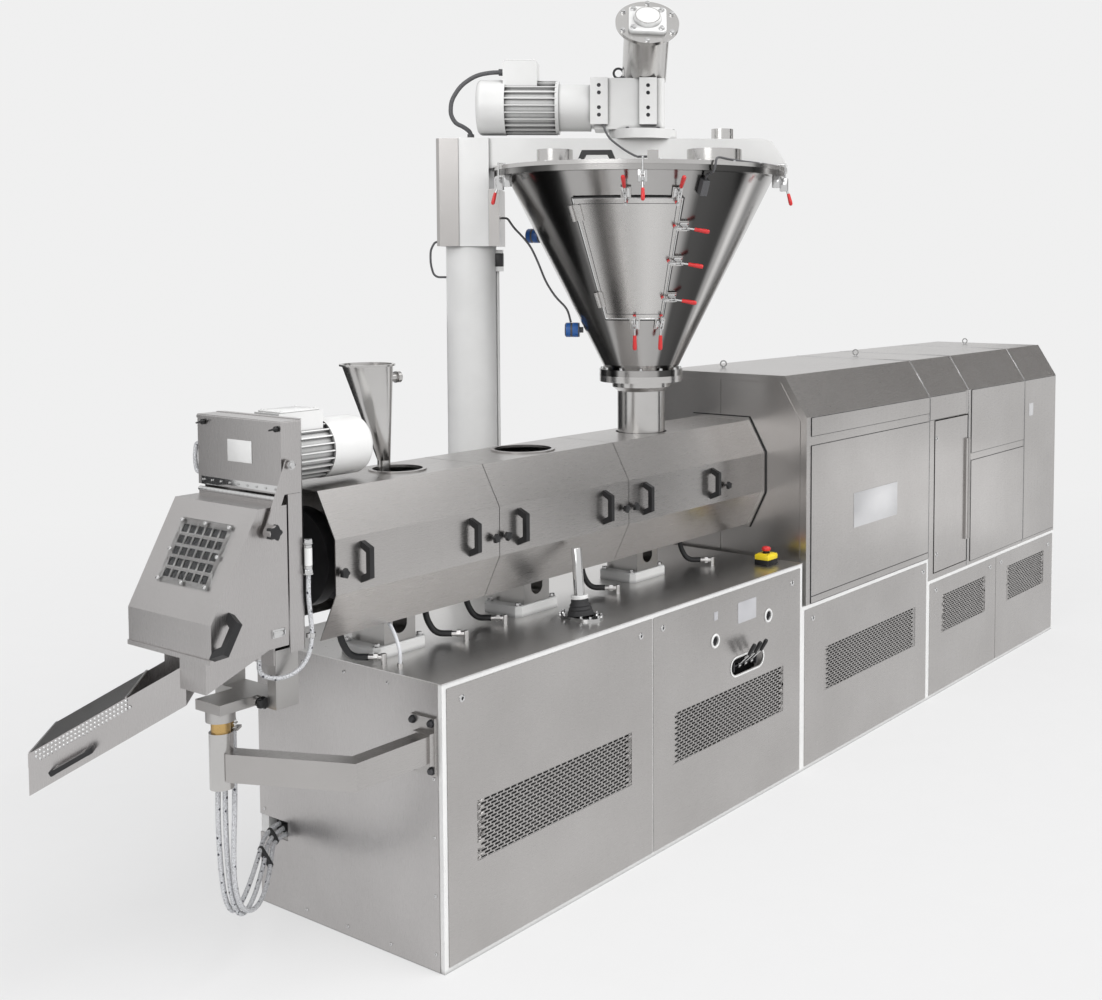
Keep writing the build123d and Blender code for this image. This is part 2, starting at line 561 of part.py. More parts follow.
def table_gear():
    """The side-feed funnel, the leaning clamp post and the emergency stop."""
    foot = Pos(FUNNEL_X, FUNNEL_Y, FUNNEL_Z[0])
    lip = Pos(FUNNEL_LIP_X, FUNNEL_Y, FUNNEL_Z[1])
    wall = 4.0
    neck_r, lip_r = FUNNEL_R
    funnel = loft([foot * Circle(neck_r), lip * Circle(lip_r)])
    funnel += disc(neck_r, FUNNEL_X, FUNNEL_Y, FEED_BLOCK_Z, FUNNEL_Z[0])
    funnel += disc(neck_r + 14, FUNNEL_X, FUNNEL_Y, FEED_BLOCK_Z, FEED_BLOCK_Z + 12)
    funnel += disc(lip_r + 7, FUNNEL_LIP_X, FUNNEL_Y, FUNNEL_Z[1] - 6, FUNNEL_Z[1])
    funnel += rod_x(13, FUNNEL_X - 20, FUNNEL_X + 80, FUNNEL_Y, SPIGOT_Z)
    funnel += rod_x(20, FUNNEL_X + 58, FUNNEL_X + 74, FUNNEL_Y, SPIGOT_Z)
    funnel -= loft([foot * Circle(neck_r - wall), lip * Circle(lip_r - wall)])
    nodes["side_funnel"] = funnel - disc(neck_r - wall, FUNNEL_X, FUNNEL_Y, FEED_BLOCK_Z - 10, FUNNEL_Z[0])

    collar = Pos(CLAMP_X, CLAMP_FOOT_Y, TABLE_Z) * Rot(0, 0, 90) * extrude(SlotOverall(190, 110), amount=10)
    rod_top = (CLAMP_X, *CLAMP_TOP)
    foot = (CLAMP_X, CLAMP_FOOT_Y, TABLE_Z + 4)
    lean = Plane(origin=foot, z_dir=Vector(*rod_top) - Vector(*foot))
    boot = lean * Pos(0, 0, 34) * Cone(48, 30, 56)
    boot += lean * Pos(0, 0, 66) * Cylinder(32, 12)
    boot -= block(CLAMP_X - 200, CLAMP_X + 200, -500, 0, TABLE_Z - 100, TABLE_Z + 8)
    shaft = rod(tuple(Vector(*foot) + lean.z_dir * 30), rod_top, CLAMP_ROD_R)
    nodes["clamp_post"] = collar + boot + shaft

    case = chamfer(block(-560, -480, -371, -299, TABLE_Z, TABLE_Z + 45).edges().group_by(Axis.Z)[-1], 6)
    case += disc(13, -520, -335, TABLE_Z + 44, TABLE_Z + 62)
    button = disc(19, -520, -335, TABLE_Z + 61, TABLE_Z + 78)
    nodes["emergency_stop"] = case + fillet(button.edges().group_by(Axis.Z)[-1], 5)


def hopper_place():
    """The turned frame on the hopper's axis."""
    return Location((HOPPER_X, 0, 0), (0, 0, HOPPER_TURN))


def cone_radius(z):
    """The cone's outer radius at a height."""
    return CONE_FOOT[0] + (z - CONE_FOOT[1]) * CONE_SLOPE


def cone_skin(z0, z1, off, thick, start, arc):
    """A sheet that follows the cone, held off it by a gap."""
    r0 = cone_radius(z0) + off
    r1 = cone_radius(z1) + off
    return Rot(0, 0, start) * turned([(r0, z0), (r1, z1), (r1 + thick, z1), (r0 + thick, z0)], arc)


def cone_plane(angle, z, off):
    """A plane on the cone, x round it to the right, y up it, z out of it."""
    radius = cone_radius(z) + off
    a = radians(angle)
    lean = radians(CONE_LEAN)
    out = (cos(lean) * cos(a), cos(lean) * sin(a), -sin(lean))
    return Plane(origin=(radius * cos(a), radius * sin(a), z), x_dir=(-sin(a), cos(a), 0), z_dir=out)


def toggle_clamp():
    """A toggle clamp on the plane z = 0, its pad towards -x and its grip towards +x."""
    clamp = block(-18, 18, -16, 16, 0, 4) + block(-14, 14, -6, 6, 3, 26)
    clamp += block(-46, 0, -4, 4, 14, 22)
    clamp += disc(7, -40, 0, 1, 15)
    clamp += rod((8, 0, 20), (62, 0, 36), 4)
    return clamp + rod((58, 0, 33), (152, 0, 84), 7.5)


def hook_clamp():
    """A hook clamp under the hopper's rim that reaches over the lid, at angle 0."""
    rim = CONE_TOP[1]
    clamp = block(572, 604, -18, 18, rim - 48, rim - 0.1)
    clamp += block(603, 634, -10, 10, rim - 62, rim - 8)
    clamp += rod((622, 0, rim - 20), (622, 0, LID_Z + LID_T + 10), 4)
    clamp += rod((626, 0, LID_Z + LID_T + 7), (594, 0, LID_Z + LID_T + 7), 4)
    clamp += rod((598, 0, LID_Z + LID_T + 8), (598, 0, LID_Z + LID_T + 0.2), 4)
    clamp += rod((628, 0, rim - 50), (638, 0, rim - 96), 4)
    return clamp + rod((636, 0, rim - 74), (648, 0, rim - 121), 8)


def hopper():
    """Cone, lid, neck, the hinged hatch that follows the cone, and the clamps."""
    place = hopper_place()
    r1, z1 = CONE_TOP
    r0, z0 = CONE_FOOT
    bore = r0 - CONE_T
    foot = z0 - FOOT_FLANGE_T
    shell = turned([(r0, z0), (r1, z1), (RIM_R, z1), (RIM_R, LID_Z), (r1 - 8, LID_Z), (r1 - CONE_T, z1),
                    (bore, z0)])
    shell += turned([(bore, foot), (FOOT_FLANGE_R, foot), (FOOT_FLANGE_R, z0), (bore, z0)])
    arc = 2 * HATCH_HALF
    first = HATCH_CENTRE - HATCH_HALF
    shell -= cone_skin(HATCH_Z[0] + HATCH_BAND, HATCH_Z[1] - HATCH_BAND, -40, 80, first + 3, arc - 6)
    nodes["hopper_cone"] = place * shell

    low, high = HATCH_Z
    hatch = cone_skin(low, high, HATCH_OFF, HATCH_T, first, arc)
    ear = 4.4
    for angle in FOOT_CLAMPS:
        hatch += cone_skin(low - EAR, low + 1, HATCH_OFF, HATCH_T, angle - ear, 2 * ear)
    for angle in HEAD_CLAMPS:
        hatch += cone_skin(high - 1, high + EAR, HATCH_OFF, HATCH_T, angle - ear / 2, ear)
    for z in SIDE_CLAMPS_Z:
        wide = degrees(EAR / cone_radius(z))
        hatch += cone_skin(z - 20, z + 20, HATCH_OFF, HATCH_T, first + arc - 0.2, wide)
    axis = hatch_axis_local()
    for z in HINGES_Z:
        hatch += rod(axis_point(axis, z), axis_point(axis, z + HINGE_L), HINGE_R)
        hatch += cone_skin(z, z + HINGE_L, HATCH_OFF, 10, first - 1.5, 5)
    nodes["hopper_hatch"] = place * hatch

    off = HATCH_OFF + HATCH_T + 0.3
    clamps = []
    for angle in FOOT_CLAMPS:
        clamps.append(cone_plane(angle, low - EAR / 2, off) * Rot(0, 0, -90) * toggle_clamp())
    for angle in HEAD_CLAMPS:
        clamps.append(cone_plane(angle, high + EAR / 2, off) * Rot(0, 0, 90) * toggle_clamp())
    for z in SIDE_CLAMPS_Z:
        angle = first + arc + degrees(EAR / 2 / cone_radius(z))
        clamps.append(cone_plane(angle, z, off) * toggle_clamp())
    nodes["hatch_clamps"] = Compound(children=[place * c for c in clamps])
    nodes["lid_clamps"] = Compound(children=[place * Rot(0, 0, a) * hook_clamp() for a in LID_CLAMPS])

    lid = disc(LID_R, 0, 0, LID_Z, LID_Z + LID_T)
    for u, v, radius, top in LID_STUBS:
        lid += disc(radius, u, v, LID_Z, top)
        lid -= disc(radius - CONE_T, u, v, LID_Z - 1, top + 1)
    lid += block(28, 70, -604, -572, LID_Z + 1, LID_Z + 50)
    nodes["hopper_lid"] = place * lid

    neck = turned([(NECK_R - CONE_T, THROAT_Z), (NECK_R, THROAT_Z), (NECK_R, 1722), (122, 1740), (122, 1763),
                   (FOOT_FLANGE_R, 1763), (FOOT_FLANGE_R, foot), (bore, foot), (bore, 1763), (118, 1763),
                   (118, 1742), (NECK_R - CONE_T, 1724)])
    nodes["hopper_neck"] = place * neck


def hatch_axis_local():
    """The hatch's hinge line in the hopper's frame: a point at the foot of the hatch and one above."""
    angle = radians(HATCH_CENTRE - HATCH_HALF - 1.5)
    points = []
    for z in HATCH_Z:
        radius = cone_radius(z) + HATCH_OFF + HATCH_T + 6
        points.append(Vector(radius * cos(angle), radius * sin(angle), z))
    return points


def axis_point(axis, z):
    """The point of the hinge line at a height."""
    share = (z - axis[0].Z) / (axis[1].Z - axis[0].Z)
    return tuple(axis[0] + (axis[1] - axis[0]) * share)


def finned(core, tip, x0, x1, z):
    """A round motor body along X with cooling fins all round."""
    body = rod_x(core, x0, x1, 0, z)
    for step in range(FINS):
        fin = block(x0 + 8, x1 - 8, core - 2, tip, -2.2, 2.2)
        body += Pos(0, 0, z) * Rot(360 / FINS * step, 0, 0) * fin
    return body


def cowl(radius, x0, x1, z, closed_edge):
    """A motor's fan cowl along X with a rounded closed end."""
    shell = rod_x(radius, x0, x1, 0, z)
    return fillet(shell.edges().filter_by(GeomType.CIRCLE).sort_by(Axis.X)[closed_edge], 20)


def hopper_drive():
    """Column, arm, gear motor and the upper bearing tube."""
    place = hopper_place()
    column = place * disc(COLUMN_R, COLUMN_U, 0, 0, HEAD_Z)
    middle = column.center()
    back = BASE_W / 2
    column += block(middle.X - 190, middle.X + 190, back + 2, middle.Y + 190, 0, 20)
    for z in (300, 780):
        column += block(middle.X - 90, middle.X + 90, back, middle.Y, z, z + 60)
    face = COLUMN_U + COLUMN_R
    column += place * disc(8, face + 4, 0, 960, HEAD_Z - 100)
    nodes["column"] = column + place * block(face - 4, face + 28, -18, 18, HEAD_Z - 104, HEAD_Z - 14)
    cheek = block(-834, -743, -HEAD_HALF, HEAD_HALF, HEAD_Z, ARM_TOP_Z - 4)
    jaw = block(-620, -578, -HEAD_HALF, HEAD_HALF, HEAD_Z, 2560)
    cheek = chamfer(cheek.edges().filter_by(Axis.Z).group_by(Axis.X)[0], 14)
    nodes["column_head"] = Compound(children=[place * cheek, place * jaw])
    under = LID_Z + LID_T
    arm = block(-743, -620, -HEAD_HALF + 6, HEAD_HALF - 6, HEAD_Z, ARM_TOP_Z)
    tip = [(ARM_TIP_U - 10, under), (ARM_TIP_U, under + 10), (ARM_TIP_U - 70, ARM_TOP_Z - 10),
           (ARM_TIP_U - 110, ARM_TOP_Z)]
    arm += prism_y([(-621, under), *tip, (-621, ARM_TOP_Z)], -ARM_HALF, ARM_HALF)
    nodes["hopper_arm"] = place * arm

    u0, u1 = GEAR_U
    gear = fillet(block(u0, u1, -GEAR_HALF, GEAR_HALF, *GEAR_Z).edges().filter_by(Axis.Z), 16)
    gear += disc(DRUM_R, 10, 0, ARM_TOP_Z, GEAR_Z[0] + 1)
    for u in FOOT_PLATES_U:
        middle_u = u + FOOT_PLATE_W / 2
        gear += block(u, u + FOOT_PLATE_W, -FOOT_PLATE_HALF, FOOT_PLATE_HALF, GEAR_Z[0] + 18, GEAR_Z[1])
        for side in (-1, 1):
            for z in FOOT_HOLES_Z:
                y0, y1 = sorted((side * (FOOT_PLATE_HALF + 1), side * (FOOT_PLATE_HALF - 16)))
                gear -= rod_y(FOOT_HOLE_R, middle_u, y0, y1, z)
    nodes["gearbox"] = place * gear

    tail, head = MOTOR_U
    motor = finned(MOTOR_R - 16, MOTOR_R - 2, COWL_END_U - 9, head, MOTOR_Z)
    motor += cowl(MOTOR_R, tail, COWL_END_U, MOTOR_Z, 0)
    motor += rod_x(MOTOR_R - 18, head - 1, FOOT_PLATES_U[0], 0, MOTOR_Z)
    motor += rod_x(MOTOR_R - 4, head - 14, head, 0, MOTOR_Z)
    motor += block(-564, -424, -70, 70, MOTOR_Z, 3084)
    nodes["drive_motor"] = place * motor

    start = Vector(14, 30, GEAR_Z[1])
    aim = Vector(*BEARING_AIM).normalized()
    end = start + aim * BEARING_L
    tube = rod(tuple(start - aim * 80), tuple(end), BEARING_R)
    tube -= block(-400, 400, -400, 400, GEAR_Z[1] - 300, GEAR_Z[1])
    face = Plane(origin=tuple(end), x_dir=(1, 0, 0), z_dir=tuple(aim))
    tube += face * Pos(0, 0, 6) * Cylinder(BEARING_FLANGE_R, 14)
    tube += face * Pos(0, 0, 12) * extrude(RectangleRounded(150, 150, 18), amount=16)
    tube += face * Pos(0, 0, 27) * extrude(Circle(54), amount=22, taper=8)
    nodes["bearing_tube"] = place * tube


def service_lines():
    """Hoses under the barrel and leads on the hopper, each held at both ends."""
    lines = []
    for i, (start, end) in enumerate(barrel_hose_ends()):
        x, y, z = end
        route = (start, (x + 28, y - 22, start[2]), (x + 4, y, z - 145), (x, y, z - 71), (x, y, z - 0.2))
        lines.append(hose(f"barrel hose {i + 1}", route, BARREL_HOSE_D))
    lines.append(hose("cooling hose", COOLING_ROUTE, COOLING_D))

    place = hopper_place()
    for name, route, diameter in HOPPER_LINES:
        line = hose(name, route, diameter)
        if diameter == CONDUIT_D:
            line += rod_x(GLAND_R, route[0][0] - 22, route[0][0], 0, route[0][2])
            line += disc(GLAND_R, route[-1][0], 0, route[-1][2], route[-1][2] + 22)
        lines.append(place * line)
    for angle, z in SENSORS:
        r = cone_radius(z)
        head = rod_x(SENSOR_R, r + 24, r + 84, 0, z) + rod_x(12, r + 8, r + 26, 0, z)
        lines.append(place * Rot(0, 0, angle) * fillet(head.edges().sort_by(Axis.X)[-1], 6))
    switch = cone_plane(SWITCH_ANGLE, SWITCH_Z, 0.5) * block(-15, 15, -32, 32, 0, 28)
    lines.append(place * switch)
    nodes["service_lines"] = Compound(children=lines)


def drain_hoses():
    """Three hoses that hang from the post into the base."""
    for i, route in enumerate(DRAIN_ROUTES):
        nodes[f"drain_hose_{i + 1}"] = hose(f"drain_hose_{i + 1}", route, DRAIN_D)


def swing_post():
    """Fixed swing arm, post sleeve with its hose clip, and bushing."""
    px = POST_X
    ex, ey = ARM_ELBOW
    wall_x = -BASE_L / 2
    half = ARM_W / 2
    run = Vector(px - ex, -ey, 0)
    inset = half * tan(radians(run.get_angle(Vector(-1, 0, 0)) / 2))
    along = run.normalized()
    normal = Vector(-along.Y, along.X, 0)
    far = Vector(px, 0, 0) - along * (SLEEVE_R - 6)
    plan = [(wall_x - 12, ey - half), (ex - inset, ey - half), tuple(far + normal * half)[:2],
            tuple(far - normal * half)[:2], (ex + inset, ey + half), (wall_x - 12, ey + half)]
    arm = prism_z(plan, *ARM_Z) - disc(SLEEVE_R, px, 0, 0, 2000)
    arm += block(wall_x - 12, wall_x, *ARM_PLATE_Y, *ARM_PLATE_Z)
    arm += block(wall_x - 30, wall_x - 11, ey - half - 8, ey + half + 8, ARM_Z[0] - 8, ARM_Z[1] + 8)
    nodes["swing_arm"] = arm

    clip = Location((px, 0, 0), (0, 0, CLIP_TURN)) * block(30, 66, -42, 42, *DRAIN_PLATE_Z)
    sleeve = disc(SLEEVE_R, px, 0, *POST_Z) + clip
    for x, y in DRAIN_TOPS:
        sleeve += disc(DRAIN_D / 2 - 1, x, y, DRAIN_PLATE_Z[1] - 1, DRAIN_NIPPLE_TOP)
    nodes["post_sleeve"] = sleeve - disc(BUSH_R, px, 0, 0, 2000)
    bush = disc(BUSH_R, px, 0, POST_Z[0] + 10, POST_Z[1] + 35)
    nodes["post_bushing"] = bush - disc(PIN_R + PIN_GAP, px, 0, 0, 2000)


def pelletizer():
    """Carrier, back plate, drive box, motor, outlet trough, chute and water hoses."""
    px = POST_X
    front, back = PLATE_X
    carrier = disc(PIN_R, px, 0, POST_Z[0] + 12, 900)
    carrier += disc(44, px, 0, POST_Z[1] + 35.3, 904)
    carrier += block(px - 45, back, -60, 60, 903, 935)
    for y in (-150, 110):
        carrier += block(-2990, back, y, y + 40, 903, PLATE_Z)
    carrier += block(-2990, back, -150, 150, 903, 935)
    nodes["pelletizer_carrier"] = carrier + rod_y(14, -3000, -80, -59, 919)

    plate = block(*PLATE_X, -CUTTER_HALF, CUTTER_HALF, PLATE_Z, BOX_Z[1] + 2)
    plate = chamfer(plate.edges().filter_by(Axis.Z).group_by(Axis.X)[-1], PLATE_EDGE)
    for y in (-CUTTER_HALF, CUTTER_HALF - 4):
        plate += block(HOOD_BACK_X + 6, front + 1, y, y + 4, PLATE_Z, BOX_Z[0] - 1)
    nodes["back_plate"] = plate + rod_x(118, back - 1, back + 36, 0, AXIS_Z)

    box = block(BOX_X, front, -CUTTER_HALF, CUTTER_HALF, *BOX_Z)
    lid = block(BOX_X - 2, front, -CUTTER_HALF - 2, CUTTER_HALF + 2, BOX_Z[1] - 12, BOX_Z[1])
    nodes["drive_box"] = box + chamfer(lid.edges().group_by(Axis.Z)[-1], 4)

    split, tail = CUTTER_MOTOR_X
    motor = finned(CUTTER_MOTOR_R - 15, CUTTER_MOTOR_R - 2, back, split + 9, CUTTER_MOTOR_Z)
    motor += cowl(CUTTER_MOTOR_R, split, tail, CUTTER_MOTOR_Z, -1)
    motor += rod_x(CUTTER_MOTOR_R - 4, back, back + 14, 0, CUTTER_MOTOR_Z)
    nodes["cutter_motor"] = motor + block(-2890, -2720, -60, 60, CUTTER_MOTOR_Z + 60, 1790)

    x, y, z = CHUTE_START
    place = Location((x, y, z), (0, 0, CHUTE_TURN))
    drop = tan(radians(CHUTE_SLOPE))
    end = -CHUTE_L * drop
    tray = prism_y([(0, 0), (0, -CHUTE_H), (CHUTE_L, end - CHUTE_H), (CHUTE_L, end)], -CHUTE_W, 0)
    fall = CHUTE_BOARD * drop
    tray += prism_y([(0, -1), (0, 24), (CHUTE_BOARD, 24 - fall / 3), (CHUTE_BOARD, -fall - 1)],
                    -CHUTE_W, -CHUTE_W + 3)
    tray -= prism_y([(-1, 40), (-1, -CHUTE_H + 3), (CHUTE_L + 1, end - CHUTE_H + 3), (CHUTE_L + 1, end + 60)],
                    -CHUTE_W + 3, -3)
    lip = -SCREEN_START * drop
    screen = [(SCREEN_START, lip), (CHUTE_L, end), (CHUTE_L, end + 3), (SCREEN_START, lip + 3)]
    tray += prism_y(screen, -CHUTE_W, 3)
    tray += prism_y([(SCREEN_START, lip + 3), (CHUTE_L, end + 3), (CHUTE_L, end - SCREEN_SKIRT),
                     (SCREEN_START, lip - SCREEN_SKIRT)], -0.5, 3)
    grip = Pos(316, 0, -262) * Rot(0, 90 + CHUTE_SLOPE, 0) * Rot(0, 0, 180) * bridge_handle(HANDLE_L, 38, 16)
    nodes["discharge_chute"] = place * (tray + grip)

    tx, tz = TROUGH_X[0], TROUGH_Z[0]
    rim = TROUGH_Z[1]
    foot = TROUGH_X[1]
    trough = prism_y([(tx, rim), (foot, rim), (foot, rim - 6), (tx, tz)], -TROUGH_HALF, TROUGH_HALF)
    trough -= prism_y([(tx + 3, rim + 1), (foot - 3, rim + 1), (foot - 3, rim - 3), (tx + 3, tz + 4)],
                      -TROUGH_HALF + 3, TROUGH_HALF - 3)
    trough -= place * block(0, CHUTE_L, -CHUTE_W - 1, 1, -400, 200)
    trough += block(foot - 2, -2990, -TROUGH_HALF, TROUGH_HALF, 1040, rim)
    sx, sy, sz = WATER_ROUTE[-1]
    trough += disc(9, sx, sy, sz + 0.2, sz + 18)
    nodes["outlet_trough"] = trough

    cx, cy, low, high = COUPLING
    feed = hose("water hose", WATER_ROUTE, WATER_D) + disc(COUPLING_R, cx, cy, low, high)
    nodes["water_hoses"] = Compound(children=[feed, hose("return hose", RETURN_ROUTE, WATER_D)])


def lifting_hood():
    """Hood on its long hinge, window, handle and stay."""
    t = HOOD_T
    outline = [HOOD_TOP, HOOD_FOOT, (HOOD_FOOT[0], HOOD_Z), (HOOD_BACK_X, HOOD_Z), (HOOD_BACK_X, HOOD_TOP[1])]
    slope = atan2(HOOD_TOP[1] - HOOD_FOOT[1], HOOD_TOP[0] - HOOD_FOOT[0])
    shift = t / sin(slope)
    inner = [(HOOD_TOP[0] + shift - t / tan(slope), HOOD_TOP[1] - t),
             (HOOD_FOOT[0] + t, HOOD_FOOT[1] - (shift - t) * tan(slope)), (HOOD_FOOT[0] + t, HOOD_Z - 1),
             (HOOD_BACK_X + 1, HOOD_Z - 1), (HOOD_BACK_X + 1, HOOD_TOP[1] - t)]
    hood = prism_y(outline, -CUTTER_HALF, CUTTER_HALF)
    hood -= prism_y(inner, -CUTTER_HALF + t, CUTTER_HALF - t)
    hood += block(HOOD_FOOT[0] - 5, HOOD_FOOT[0] + 1, -CUTTER_HALF, CUTTER_HALF, HOOD_Z, HOOD_Z + 14)
    hx, hz = HOOD_HINGE
    hood += rod_y(HOOD_HINGE_R, hx, -HOOD_HINGE_HALF, HOOD_HINGE_HALF, hz)
    hood += block(hx - t, hx + t, -HOOD_HINGE_HALF, HOOD_HINGE_HALF, HOOD_TOP[1] - 1, hz)
    mid = Vector((HOOD_TOP[0] + HOOD_FOOT[0]) / 2, 0, (HOOD_TOP[1] + HOOD_FOOT[1]) / 2)
    on_slope = Plane(origin=mid, x_dir=(0, 1, 0), z_dir=(-sin(slope), 0, cos(slope)))
    glass = on_slope * Pos(*WINDOW_AT, 0)
    across, up = WINDOW_PANES
    panes = GridLocations(*PANE_PITCH, across, up)
    for spot in panes:
        hood -= glass * spot * Box(*PANE, 20)
    nodes["cutter_hood"] = hood
    nodes["hood_window"] = glass * Pos(0, 0, WINDOW_T / 2) * Box(*WINDOW, WINDOW_T)
    nodes["hood_handle"] = Pos(-3214, -CUTTER_HALF, 1186) * Rot(0, 30, 0) * bridge_handle(140, 50, 22)

    stay_y = -CUTTER_HALF - 12
    px, pz = STAY_PIVOT
    kx, kz = STAY_KNOB
    run = Vector(kx - px, 0, kz - pz)
    bar = Pos((px + kx) / 2, stay_y, (pz + kz) / 2) * Rot(0, degrees(atan2(run.X, run.Z)), 0)
    stay = rod_y(16, px, stay_y - 2.5, stay_y + 2.5, pz) + bar * Box(30, 5, run.length + 20)
    stay += rod_y(9, px, stay_y - 12, stay_y, pz)
    nodes["stay_bar"] = stay + rod_y(22, kx, stay_y - 34, stay_y - 2, kz)


def main():
    base()
    valve_levers()
    drive_housing()
    barrel()
    table_gear()
    hopper()
    hopper_drive()
    service_lines()
    swing_post()
    drain_hoses()
    pelletizer()
    lifting_hood()
    os.makedirs("parts", exist_ok=True)
    for name, shape in nodes.items():
        export_step(shape, f"parts/{name}.step")
    print(len(nodes), "nodes")


main()
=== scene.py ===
"""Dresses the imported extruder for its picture.

Finishes, sheet-metal detail, fasteners, hoses, light and camera.
"""
import bmesh
import bpy
from math import atan2, cos, degrees, pi, radians, sin
from mathutils import Matrix, Vector


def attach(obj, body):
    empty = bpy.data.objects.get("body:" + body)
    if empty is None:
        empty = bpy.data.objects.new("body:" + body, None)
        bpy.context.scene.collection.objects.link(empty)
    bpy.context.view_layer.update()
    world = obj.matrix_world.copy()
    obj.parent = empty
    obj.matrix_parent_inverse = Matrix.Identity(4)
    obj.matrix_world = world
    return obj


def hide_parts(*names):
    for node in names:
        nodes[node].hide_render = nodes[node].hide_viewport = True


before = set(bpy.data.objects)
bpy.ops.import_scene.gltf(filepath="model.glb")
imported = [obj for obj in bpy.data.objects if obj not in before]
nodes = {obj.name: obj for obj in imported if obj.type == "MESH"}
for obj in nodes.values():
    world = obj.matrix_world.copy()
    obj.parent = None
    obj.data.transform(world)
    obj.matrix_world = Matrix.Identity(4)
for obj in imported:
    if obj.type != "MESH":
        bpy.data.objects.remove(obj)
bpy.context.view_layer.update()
MM = 0.001

# faces that fittings sit on, in millimetres, and the ways that they look
FRONT_Y = -455
END_X = -2600
TABLE_Z = 940
FRONT = (0, -1, 0)
LEFT = (-1, 0, 0)

# the hopper's own frame and its cone, in millimetres
HOPPER_X = -981.0
HOPPER = Matrix.Translation((HOPPER_X, 0.0, 0.0)) @ Matrix.Rotation(radians(-52.74), 4, "Z")
CONE_FOOT_R, CONE_RIM_R = 152.0, 553.0
CONE_FOOT_Z, CONE_RIM_Z = 1815.0, 2608.0
CONE_LEAN = atan2(CONE_RIM_R - CONE_FOOT_R, CONE_RIM_Z - CONE_FOOT_Z)


def cone_radius(z):
    """The cone's radius at a height."""
    return CONE_FOOT_R + (z - CONE_FOOT_Z) * (CONE_RIM_R - CONE_FOOT_R) / (CONE_RIM_Z - CONE_FOOT_Z)


# finishes

LINE_RELIEF = 0.05
LINE_DEPTH = 0.0004
# the angle round the hopper where the painted reflection bands on the cone and hatch start
BANDS_START = radians(217.5)


def new_finish(name):
    """A material with its node tree and main shader."""
    mat = bpy.data.materials.new(name)
    mat.use_nodes = True
    tree = mat.node_tree
    return mat, tree, tree.nodes["Principled BSDF"]


def pattern(tree, scale, stretch=(1, 1, 1), detail=4.0, kind="ShaderNodeTexNoise"):
    """A texture on the piece's own coordinates."""
    where = tree.nodes.new("ShaderNodeTexCoord")
    turn = tree.nodes.new("ShaderNodeMapping")
    turn.inputs["Scale"].default_value = stretch
    tex = tree.nodes.new(kind)
    tex.inputs["Scale"].default_value = scale
    if kind == "ShaderNodeTexNoise":
        tex.inputs["Detail"].default_value = detail
    tree.links.new(where.outputs["Object"], turn.inputs["Vector"])
    tree.links.new(turn.outputs["Vector"], tex.inputs["Vector"])
    return tex


def spread(tree, source, low, high):
    """Spreads a texture's value between two limits."""
    node = tree.nodes.new("ShaderNodeMapRange")
    node.inputs["From Min"].default_value = 0.3
    node.inputs["From Max"].default_value = 0.7
    node.inputs["To Min"].default_value = low
    node.inputs["To Max"].default_value = high
    tree.links.new(source, node.inputs["Value"])
    return node.outputs["Result"]


def shade(tree, source, dark, light):
    """Colours a texture between two tones."""
    ramp = tree.nodes.new("ShaderNodeValToRGB")
    ramp.color_ramp.elements[0].position = 0.3
    ramp.color_ramp.elements[0].color = (*dark, 1)
    ramp.color_ramp.elements[1].position = 0.7
    ramp.color_ramp.elements[1].color = (*light, 1)
    tree.links.new(source, ramp.inputs["Fac"])
    return ramp.outputs["Color"]


def relief(tree, bsdf, source, strength, depth):
    """Raises a surface by a texture's value."""
    bump = tree.nodes.new("ShaderNodeBump")
    bump.inputs["Strength"].default_value = strength
    bump.inputs["Distance"].default_value = depth
    tree.links.new(source, bump.inputs["Height"])
    tree.links.new(bump.outputs["Normal"], bsdf.inputs["Normal"])


def brushed_sheet(name, dark, light, rough, stretch):
    """Brushed sheet metal: long fine lines, with cloudy wear over them."""
    mat, tree, bsdf = new_finish(name)
    cloud = pattern(tree, 2.2, detail=5.0)
    line = pattern(tree, 1.0, stretch, detail=3.0)
    tree.links.new(shade(tree, cloud.outputs["Fac"], dark, light), bsdf.inputs["Base Color"])
    tree.links.new(spread(tree, line.outputs["Fac"], *rough), bsdf.inputs["Roughness"])
    relief(tree, bsdf, line.outputs["Fac"], LINE_RELIEF, LINE_DEPTH)
    bsdf.inputs["Metallic"].default_value = 1.0
    return mat


def coat(name, dark, light, rough, grain, depth, metallic=0.0, gloss=0.0):
    """Paint, plastic, rubber or cast metal with a fine grain."""
    mat, tree, bsdf = new_finish(name)
    cloud = pattern(tree, 6.0, detail=5.0)
    fine = pattern(tree, grain, detail=3.0)
    tree.links.new(shade(tree, cloud.outputs["Fac"], dark, light), bsdf.inputs["Base Color"])
    tree.links.new(spread(tree, fine.outputs["Fac"], *rough), bsdf.inputs["Roughness"])
    relief(tree, bsdf, fine.outputs["Fac"], 0.25, depth)
    bsdf.inputs["Metallic"].default_value = metallic
    bsdf.inputs["Coat Weight"].default_value = gloss
    bsdf.inputs["Coat Roughness"].default_value = 0.12
    return mat


def blend(tree, share, first, second):
    """Mixes two colours by a share."""
    mix = tree.nodes.new("ShaderNodeMix")
    mix.data_type = "RGBA"
    tree.links.new(share, mix.inputs["Factor"])
    for socket, colour in ((mix.inputs["A"], first), (mix.inputs["B"], second)):
        if isinstance(colour, tuple):
            socket.default_value = (*colour, 1)
        else:
            tree.links.new(colour, socket)
    return mix.outputs["Result"]


def limits(tree, source, start, end, low=0.0):
    """The low share below the start, one above the end."""
    node = tree.nodes.new("ShaderNodeMapRange")
    node.inputs["From Min"].default_value = start
    node.inputs["From Max"].default_value = end
    node.inputs["To Min"].default_value = low
    tree.links.new(source, node.inputs["Value"])
    return node.outputs["Result"]


